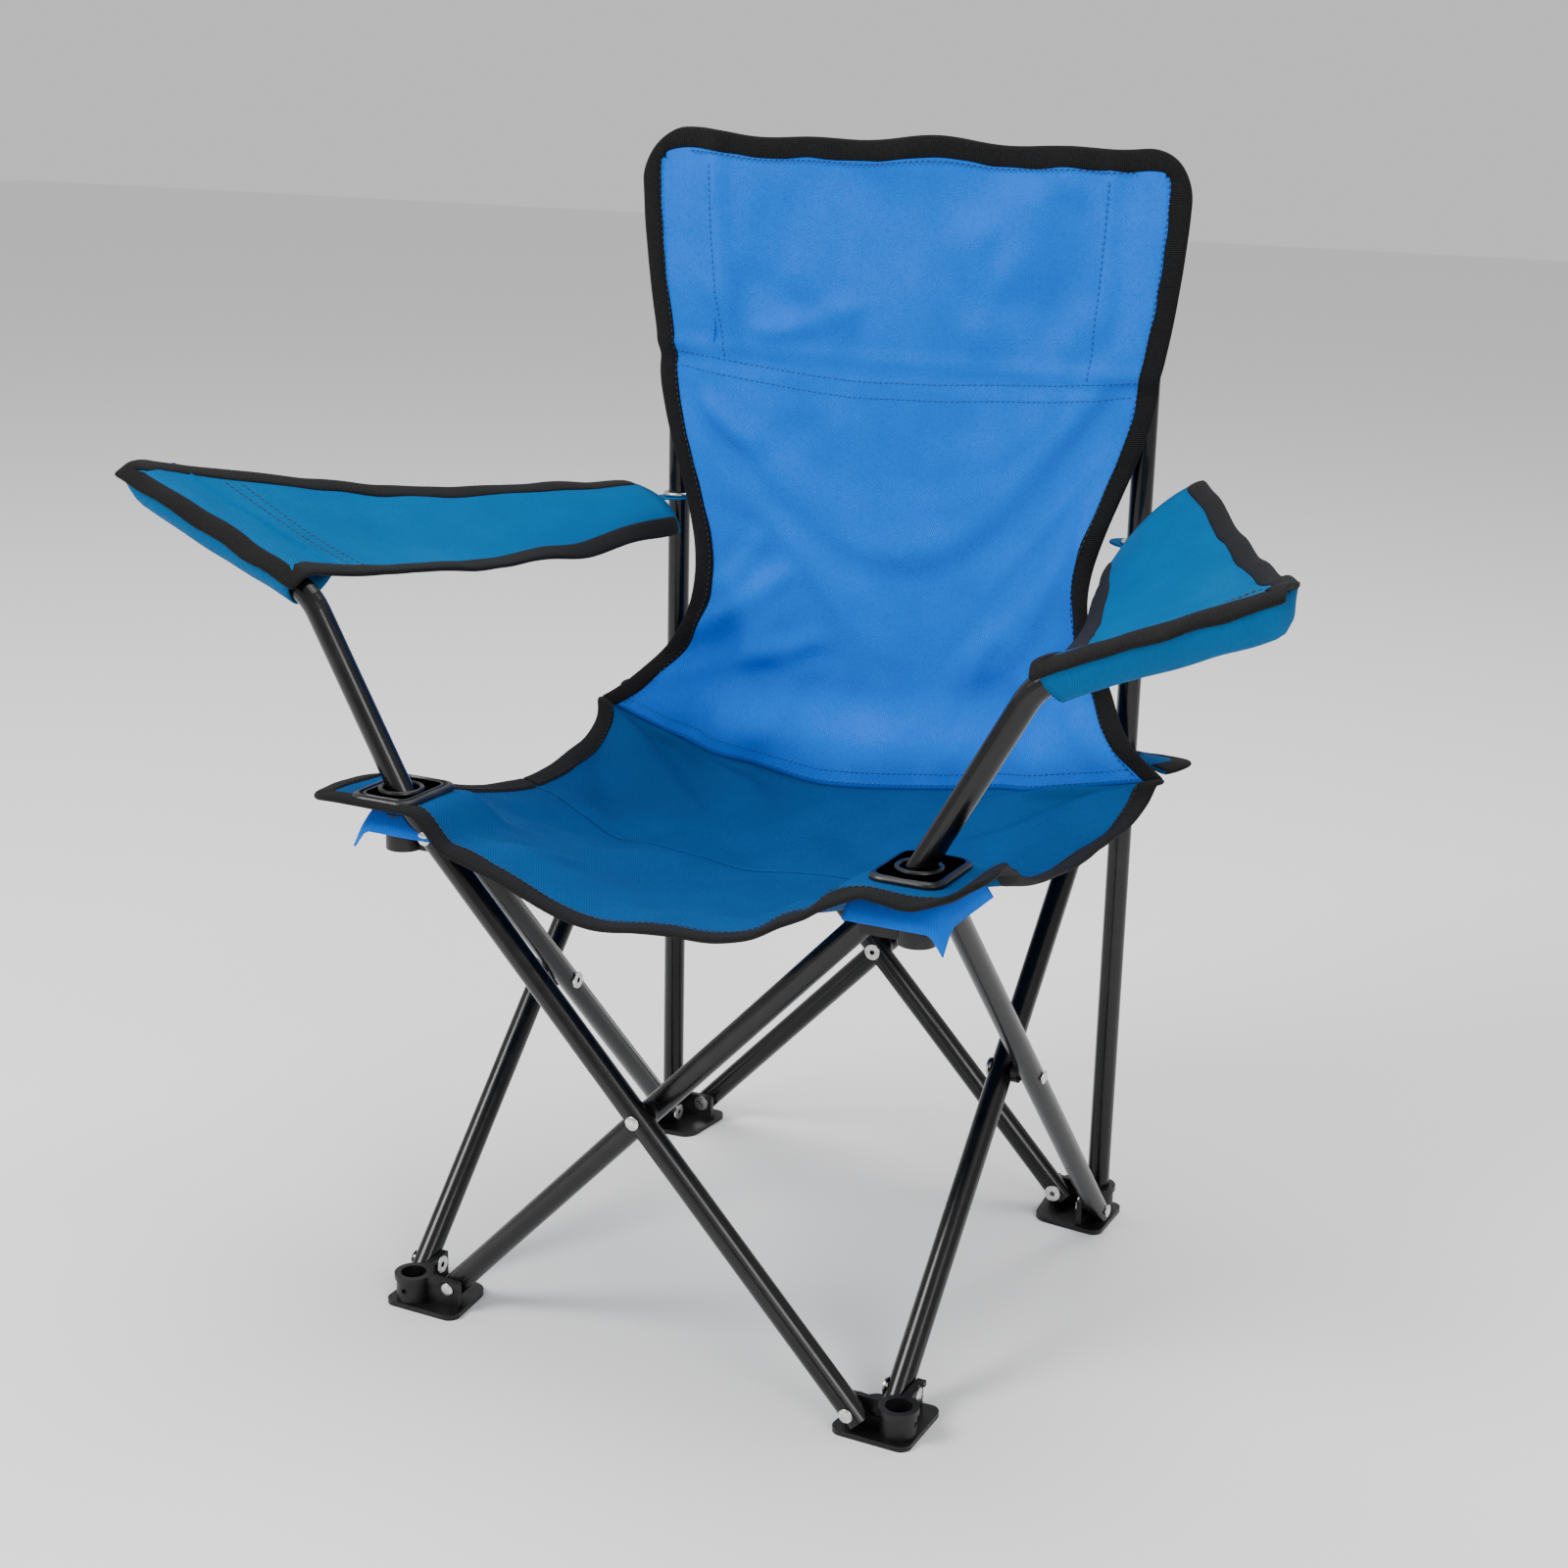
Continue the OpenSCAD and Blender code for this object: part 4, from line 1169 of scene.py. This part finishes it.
@dataclass
class Armrest:
    """A sling of twill over the arm tube, with a sleeve under the tube, a bound edge and a tab round the upright."""

    side: Side
    rise: float = math.radians(23.0)
    spare_in: float = 0.009
    spare_out: float = 0.010
    lead: float = 0.0135
    sleeve_back: float = 0.026
    over_tube: float = 0.0098
    rows: int = 57
    columns: int = 33

    def __post_init__(self) -> None:
        """Takes the sleeve's line, the strap's end and the direction from the sleeve to the eyelet from the frame."""
        word = self.side.word
        low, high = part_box(f"arm_sleeve_{word}")
        inner, outer = sorted((abs(low.x), abs(high.x)))
        radius = (high.y - low.y) / 2
        self.plane = (low.y + high.y) / 2
        self.along = np.array([-math.cos(self.rise), 0.0, math.sin(self.rise)])
        self.lift = np.array([math.sin(self.rise), 0.0, math.cos(self.rise)])
        start = np.array([-inner - radius * math.sin(self.rise), self.plane, low.z + radius * math.cos(self.rise)])
        self.start = start - self.along * self.spare_in
        self.length = (outer - inner - 2 * radius * math.sin(self.rise)) / math.cos(self.rise) + self.spare_in + self.spare_out
        ring_low, ring_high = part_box(f"arm_eyelet_{word}")
        ring = (ring_low + ring_high) / 2
        self.ring = np.array([-abs(ring.x), ring.y, ring.z])
        if self.side is Side.LEFT:
            offsets = ((0.009, -0.015, -0.021), (-0.004, -0.0125, -0.003), (-0.033, -0.008, 0.005))
        else:
            offsets = ((0.014, -0.015, -0.018), (-0.010, -0.0135, 0.018), (-0.039, -0.0135, 0.040))
        self.strap = [self.ring + np.array(offset) for offset in offsets]
        sleeve = (low + high) / 2
        self.anchor = tuple(sleeve)
        self.way = tuple((ring - sleeve).normalized())
        self.keep = 0.6054 if self.side is Side.LEFT else 0.6168
        self.body = f"arm_{word}_body"

    def own_side(self, points: Array) -> Array:
        """Puts points drawn on the left over to the armrest's own side, with rows facing upwards."""
        points = points[:, ::-1]
        if self.side is Side.RIGHT:
            points = points[:, ::-1].copy()
            points[..., 0] *= -1.0
        return points

    def cloth(self) -> Cloth:
        """The sling as rows from its front edge, over the tube and back to the strap."""
        u = np.linspace(0.0, 1.0, self.columns)
        near = self.start[None] + self.along[None] * (self.length * u)[:, None]
        inner, middle, outer = self.strap
        rear = (
            inner[None] * ((1 - u) * (1 - 2 * u))[:, None]
            + middle[None] * (4 * u * (1 - u))[:, None]
            + outer[None] * (u * (2 * u - 1))[:, None]
        )
        over = 15
        points = np.zeros((self.rows, self.columns, 3))
        for r in range(self.rows):
            if r < over:
                off = -self.lead + (self.lead + 0.012) * r / (over - 1)
                drop = 0.0075 * (min(0.0, off + 0.002) / self.lead) ** 2 + 0.002 * (max(0.0, off) / 0.012) ** 2
                line = near + self.lift[None] * (self.over_tube - drop)
                line[:, 1] += off
            else:
                t = (r - over + 1) / (self.rows - over)
                ease = t ** 1.12
                first = near + self.lift[None] * (self.over_tube - 0.002)
                first[:, 1] += 0.012
                line = first + (rear - first) * ease
                line[:, 1] = first[:, 1] + (rear[:, 1] - first[:, 1]) * t
                sag = math.sin(math.pi * t) * (1 - 0.4 * t)
                line[:, 2] -= 0.012 * sag + 0.009 * sag * (1 - (2 * u - 1) ** 2)
            points[r] = line
        reach = np.linspace(0.0, 1.0, self.rows)[:, None] * np.ones(self.columns)
        loose = smoothstep((reach - 0.24) / 0.12) * smoothstep((1.0 - reach) / 0.08)
        rim = np.abs(2 * u - 1)[None] ** 4
        ripple = wander(points, 24.0, 40.0 + 5.0 * self.side.value)
        points[..., 2] += (0.0032 * rim + 0.0016) * ripple * loose
        points[..., 1] += 0.0012 * wander(points, 48.0, 60.0 + self.side.value) * smoothstep((0.12 - reach) / 0.1)
        points[..., 2] += 0.0022 * wander(points, 52.0, 70.0 + self.side.value) * smoothstep((0.1 - reach) / 0.08)
        run = np.concatenate([[0.0], np.cumsum(np.linalg.norm(np.diff(points[:, self.columns // 2], axis=0), axis=1))])
        flat = np.stack([(self.length * u)[None] * np.ones(self.rows)[:, None], run[:, None] * np.ones(self.columns)[None]], axis=-1)
        return Cloth(self.own_side(points), flat)

    def sleeve(self) -> Cloth:
        """The sleeve's lower half as rows from the front edge, under the tube, to its seam behind."""
        u = np.linspace(0.0, 1.0, self.columns)
        near = self.start[None] + self.along[None] * (0.004 + (self.length - 0.008) * u)[:, None]
        w = np.linspace(0.0, 1.0, 23)
        points = np.zeros((len(w), self.columns, 3))
        for r, share in enumerate(w):
            closing = np.sqrt(np.clip(1.0 - (np.clip(u - 0.91, 0.0, None) / 0.09) ** 2, 0.0, None))
            deep = 0.0175 * math.sin(math.pi * share) ** 0.62 * closing
            line = near + self.lift[None] * (0.0055 + 0.002 * share - deep)[:, None]
            line[:, 1] += -self.lead + 0.0015 + (self.lead + self.sleeve_back) * share
            points[r] = line
        points[..., 2] += 0.0016 * wander(points, 45.0, 80.0 + self.side.value) * np.sin(math.pi * w)[:, None]
        flat = np.stack([(self.length * u)[None] * np.ones(len(w))[:, None], (0.055 * w)[:, None] * np.ones(self.columns)[None]], axis=-1)
        return Cloth(self.own_side(points), flat)

    def tab(self) -> Cloth:
        """The round tab of cloth under the eyelet, as rings from the upright outwards."""
        turn = np.linspace(0.0, 2.0 * math.pi, 41)
        radii = np.linspace(0.0076, 0.0165, 6)
        points = np.zeros((len(radii), len(turn), 3))
        for r, radius in enumerate(radii):
            points[r, :, 0] = self.ring[0] + radius * np.cos(turn)
            points[r, :, 1] = self.ring[1] + radius * 0.92 * np.sin(turn) * np.where(np.sin(turn) > 0, 1.0, 0.75)
            points[r, :, 2] = self.ring[2] - 0.0021 + 0.10 * radius * np.cos(turn) * r / 5
        return Cloth(self.own_side(points[:, ::-1]), points[..., :2])

    def build(self, wardrobe: Wardrobe) -> None:
        """Makes the sling, sleeve, tab, tape and stitches.

        Args:
            wardrobe: The finishes.
        """
        word = self.side.word
        cloth, sleeve = self.cloth(), self.sleeve()
        self.sheet(f"arm_sling_cloth_{word}", cloth, (f"arm_sling_{word}",), wardrobe)
        self.sheet(f"arm_sleeve_cloth_{word}", sleeve, (f"arm_sleeve_{word}",), wardrobe)
        self.sheet(f"arm_tab_{word}", self.tab(), (), wardrobe, ringed=True)
        last, edge = self.rows - 1, self.columns - 1
        spots = [(r, 0) for r in range(last, 0, -1)] + [(0, c) for c in range(edge)] + [(r, edge) for r in range(last + 1)]
        tape = Tape(width=0.0122, depth=0.0040).build(f"arm_tape_{word}", *cloth.rim(spots, 3, low=6), 30.0 + self.side.value)
        tape.data.materials.append(wardrobe.tape)
        self.fold_away(tape)
        lines = [cloth.line(row=r, span=(0.1, 0.9)) for r in (0.335, 0.36)]
        threads = Stitching().build(f"arm_stitches_{word}", lines)
        threads.data.materials.append(wardrobe.black_thread)
        self.fold_away(threads)

    def sheet(self, name: str, cloth: Cloth, nodes: tuple[str, ...], wardrobe: Wardrobe, ringed: bool = False) -> None:
        """Makes one piece of the armrest's cloth.

        Args:
            name: The piece's name.
            cloth: The cloth.
            nodes: The frame's nodes it replaces.
            wardrobe: The finishes.
            ringed: Whether its rows are rings.
        """
        piece = grid_piece(name, cloth.points, cloth.flat)
        thicken(piece, 0.0013)
        piece.data.materials.append(wardrobe.arm)
        self.fold_away(piece)
        if nodes:
            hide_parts(*nodes)
        width, length, area = cloth.plan_size() if ringed else cloth.size()
        log.info("%s: %.0f x %.0f mm cut", name, 1000 * width, 1000 * length)

    def fold_away(self, piece: bpy.types.Object) -> None:
        """Makes a piece ride with the armrest, with a mesh of its own."""
        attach(piece, self.body)
        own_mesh(piece)


@dataclass
class GrommetPlate:
    """The moulded plate through which an arm post passes the seat: a ridged rounded plate with a raised rim."""

    side: Side
    corner: float = 0.0080
    rim: float = 0.0117
    points: int = 72

    def ring(self, bm: bmesh.types.BMesh, inset: float, height: float, circle: float = 0.0) -> list[bmesh.types.BMEdge]:
        """Adds one outline of the plate.

        Args:
            bm: The mesh.
            inset: Distance in from the plate's outline.
            height: Height over the plate's underside.
            circle: Radius, if the outline is a circle round the bore.

        Returns:
            The outline's edges.
        """
        half_x, half_y = self.half[0] - inset, self.half[1] - inset
        corner = max(0.0012, self.corner - 0.5 * inset)
        made = bmesh.ops.create_circle(bm, segments=self.points, radius=1.0)["verts"]
        for vert in made:
            angle = math.atan2(vert.co.y, vert.co.x)
            if circle:
                vert.co = Vector((self.centre[0] + circle * math.cos(angle), self.centre[1] - self.offset + circle * math.sin(angle), self.base + height))
                continue
            dx, dy = math.cos(angle), math.sin(angle)
            scale = min(half_x / max(abs(dx), 1e-9), half_y / max(abs(dy), 1e-9))
            x, y = dx * scale, dy * scale
            over_x, over_y = abs(x) - (half_x - corner), abs(y) - (half_y - corner)
            if over_x > 0 and over_y > 0:
                size = math.hypot(over_x, over_y)
                x = math.copysign(half_x - corner + over_x * corner / size, x)
                y = math.copysign(half_y - corner + over_y * corner / size, y)
            vert.co = Vector((self.centre[0] + x, self.centre[1] + y, self.base + height))
        return list({edge for vert in made for edge in vert.link_edges})

    def build(self, wardrobe: Wardrobe) -> None:
        """Makes the plate.

        Args:
            wardrobe: The finish.
        """
        node = f"grommet_{self.side.word}"
        low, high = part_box(node)
        self.half = ((high.x - low.x) / 2, (high.y - low.y) / 2)
        self.centre, self.base, self.offset = ((low.x + high.x) / 2, (low.y + high.y) / 2), low.z, 0.002
        bm = bmesh.new()
        rings = [
            (0.0, -0.0004, 0.0), (0.0, 0.0012, 0.0), (0.0006, 0.0022, 0.0), (0.0018, 0.0028, 0.0), (0.0028, 0.0028, 0.0),
            (0.0034, 0.0014, 0.0), (0.0042, 0.0014, 0.0), (0.0048, 0.0026, 0.0), (0.0058, 0.0026, 0.0), (0.0064, 0.0014, 0.0),
            (0.0, 0.0014, 0.0123), (0.0, 0.0036, 0.0118), (0.0, 0.0041, 0.0112), (0.0, 0.0040, 0.0102), (0.0, 0.0034, 0.0095),
            (0.0, -0.0016, 0.0094), (0.0, -0.0016, 0.0118), (0.0, -0.0004, 0.0122),
        ]
        outlines = [self.ring(bm, *ring) for ring in rings]
        for first, second in zip(outlines, outlines[1:] + outlines[:1]):
            bmesh.ops.bridge_loops(bm, edges=first + second)
        bmesh.ops.remove_doubles(bm, verts=bm.verts[:], dist=1e-6)
        bmesh.ops.recalc_face_normals(bm, faces=bm.faces[:])
        piece = finish_mesh(f"grommet_plate_{self.side.word}", bm)
        rounder = piece.modifiers.new("soften", "BEVEL")
        rounder.width, rounder.segments, rounder.limit_method = 0.0003, 2, "ANGLE"
        apply_modifiers(piece)
        piece.data.materials.append(wardrobe.grommet)
        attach(piece, "outer_tube_front_body" if self.side is Side.LEFT else "inner_tube_front_body")
        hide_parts(node)
        log.info("grommet plate %s moulded", self.side.word)


# ---------------------------------------------------------------- studio


@dataclass
class Studio:
    """A pale floor, soft lights and the camera."""

    place: tuple[float, float, float] = (0.5738, -1.1439, 0.6571)
    lens: float = 56.52
    yaw: float = math.radians(26.37)
    pitch: float = math.radians(-16.21)
    roll: float = math.radians(1.324)

    def camera(self) -> None:
        """Sets the camera."""
        data = bpy.data.cameras.new("studio_camera")
        data.lens, data.sensor_width = self.lens, 36.0
        data.clip_start, data.clip_end = 0.05, 60.0
        camera = bpy.data.objects.new("studio_camera", data)
        bpy.context.scene.collection.objects.link(camera)
        ahead = Vector((-math.sin(self.yaw) * math.cos(self.pitch), math.cos(self.yaw) * math.cos(self.pitch), math.sin(self.pitch)))
        right = Vector((math.cos(self.yaw), math.sin(self.yaw), 0.0))
        up = right.cross(ahead)
        x = right * math.cos(self.roll) + up * math.sin(self.roll)
        y = up * math.cos(self.roll) - right * math.sin(self.roll)
        camera.matrix_world = Matrix.Translation(self.place) @ Matrix((x, y, -ahead)).transposed().to_4x4()
        bpy.context.scene.camera = camera

    def lamp(self, name: str, place: tuple[float, float, float], size: float, power: float) -> None:
        """Adds a square soft light that faces the chair.

        Args:
            name: The light's name.
            place: Where it stands.
            size: Its side length.
            power: Watts.
        """
        data = bpy.data.lights.new(name, "AREA")
        data.shape, data.size, data.energy = "SQUARE", size, power
        lamp = bpy.data.objects.new(name, data)
        lamp.location = place
        lamp.rotation_euler = (Vector((0.0, 0.0, 0.35)) - Vector(place)).to_track_quat("-Z", "Y").to_euler()
        bpy.context.scene.collection.objects.link(lamp)

    def build(self) -> None:
        """Sets up the floor, the lights and the camera."""
        bm = bmesh.new()
        bmesh.ops.create_grid(bm, x_segments=24, y_segments=24, size=9.0)
        floor = finish_mesh("studio_floor", bm)
        floor.data.materials.append(StudioPaper().build())
        world = bpy.data.worlds.new("studio_world")
        world.use_nodes = True
        back = world.node_tree.nodes["Background"]
        back.inputs["Color"].default_value = (1.0, 1.0, 1.0, 1.0)
        back.inputs["Strength"].default_value = 0.7
        bpy.context.scene.world = world
        self.lamp("key_light", (-1.5, -1.7, 2.1), 1.1, 75.0)
        self.lamp("fill_light", (1.9, -1.5, 1.3), 1.1, 30.0)
        self.lamp("top_light", (0.1, 0.5, 2.4), 1.8, 45.0)
        self.camera()
        log.info("studio ready")


def main() -> None:
    logging.basicConfig(level=logging.INFO, format="%(message)s")
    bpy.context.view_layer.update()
    wardrobe = Wardrobe()
    wardrobe.dress_frame()
    Cover().build(wardrobe)
    for side in Side:
        Armrest(side).build(wardrobe)
        GrommetPlate(side).build(wardrobe)
    Studio().build()
    log.info("sizes written")


if __name__ == "__main__":
    main()
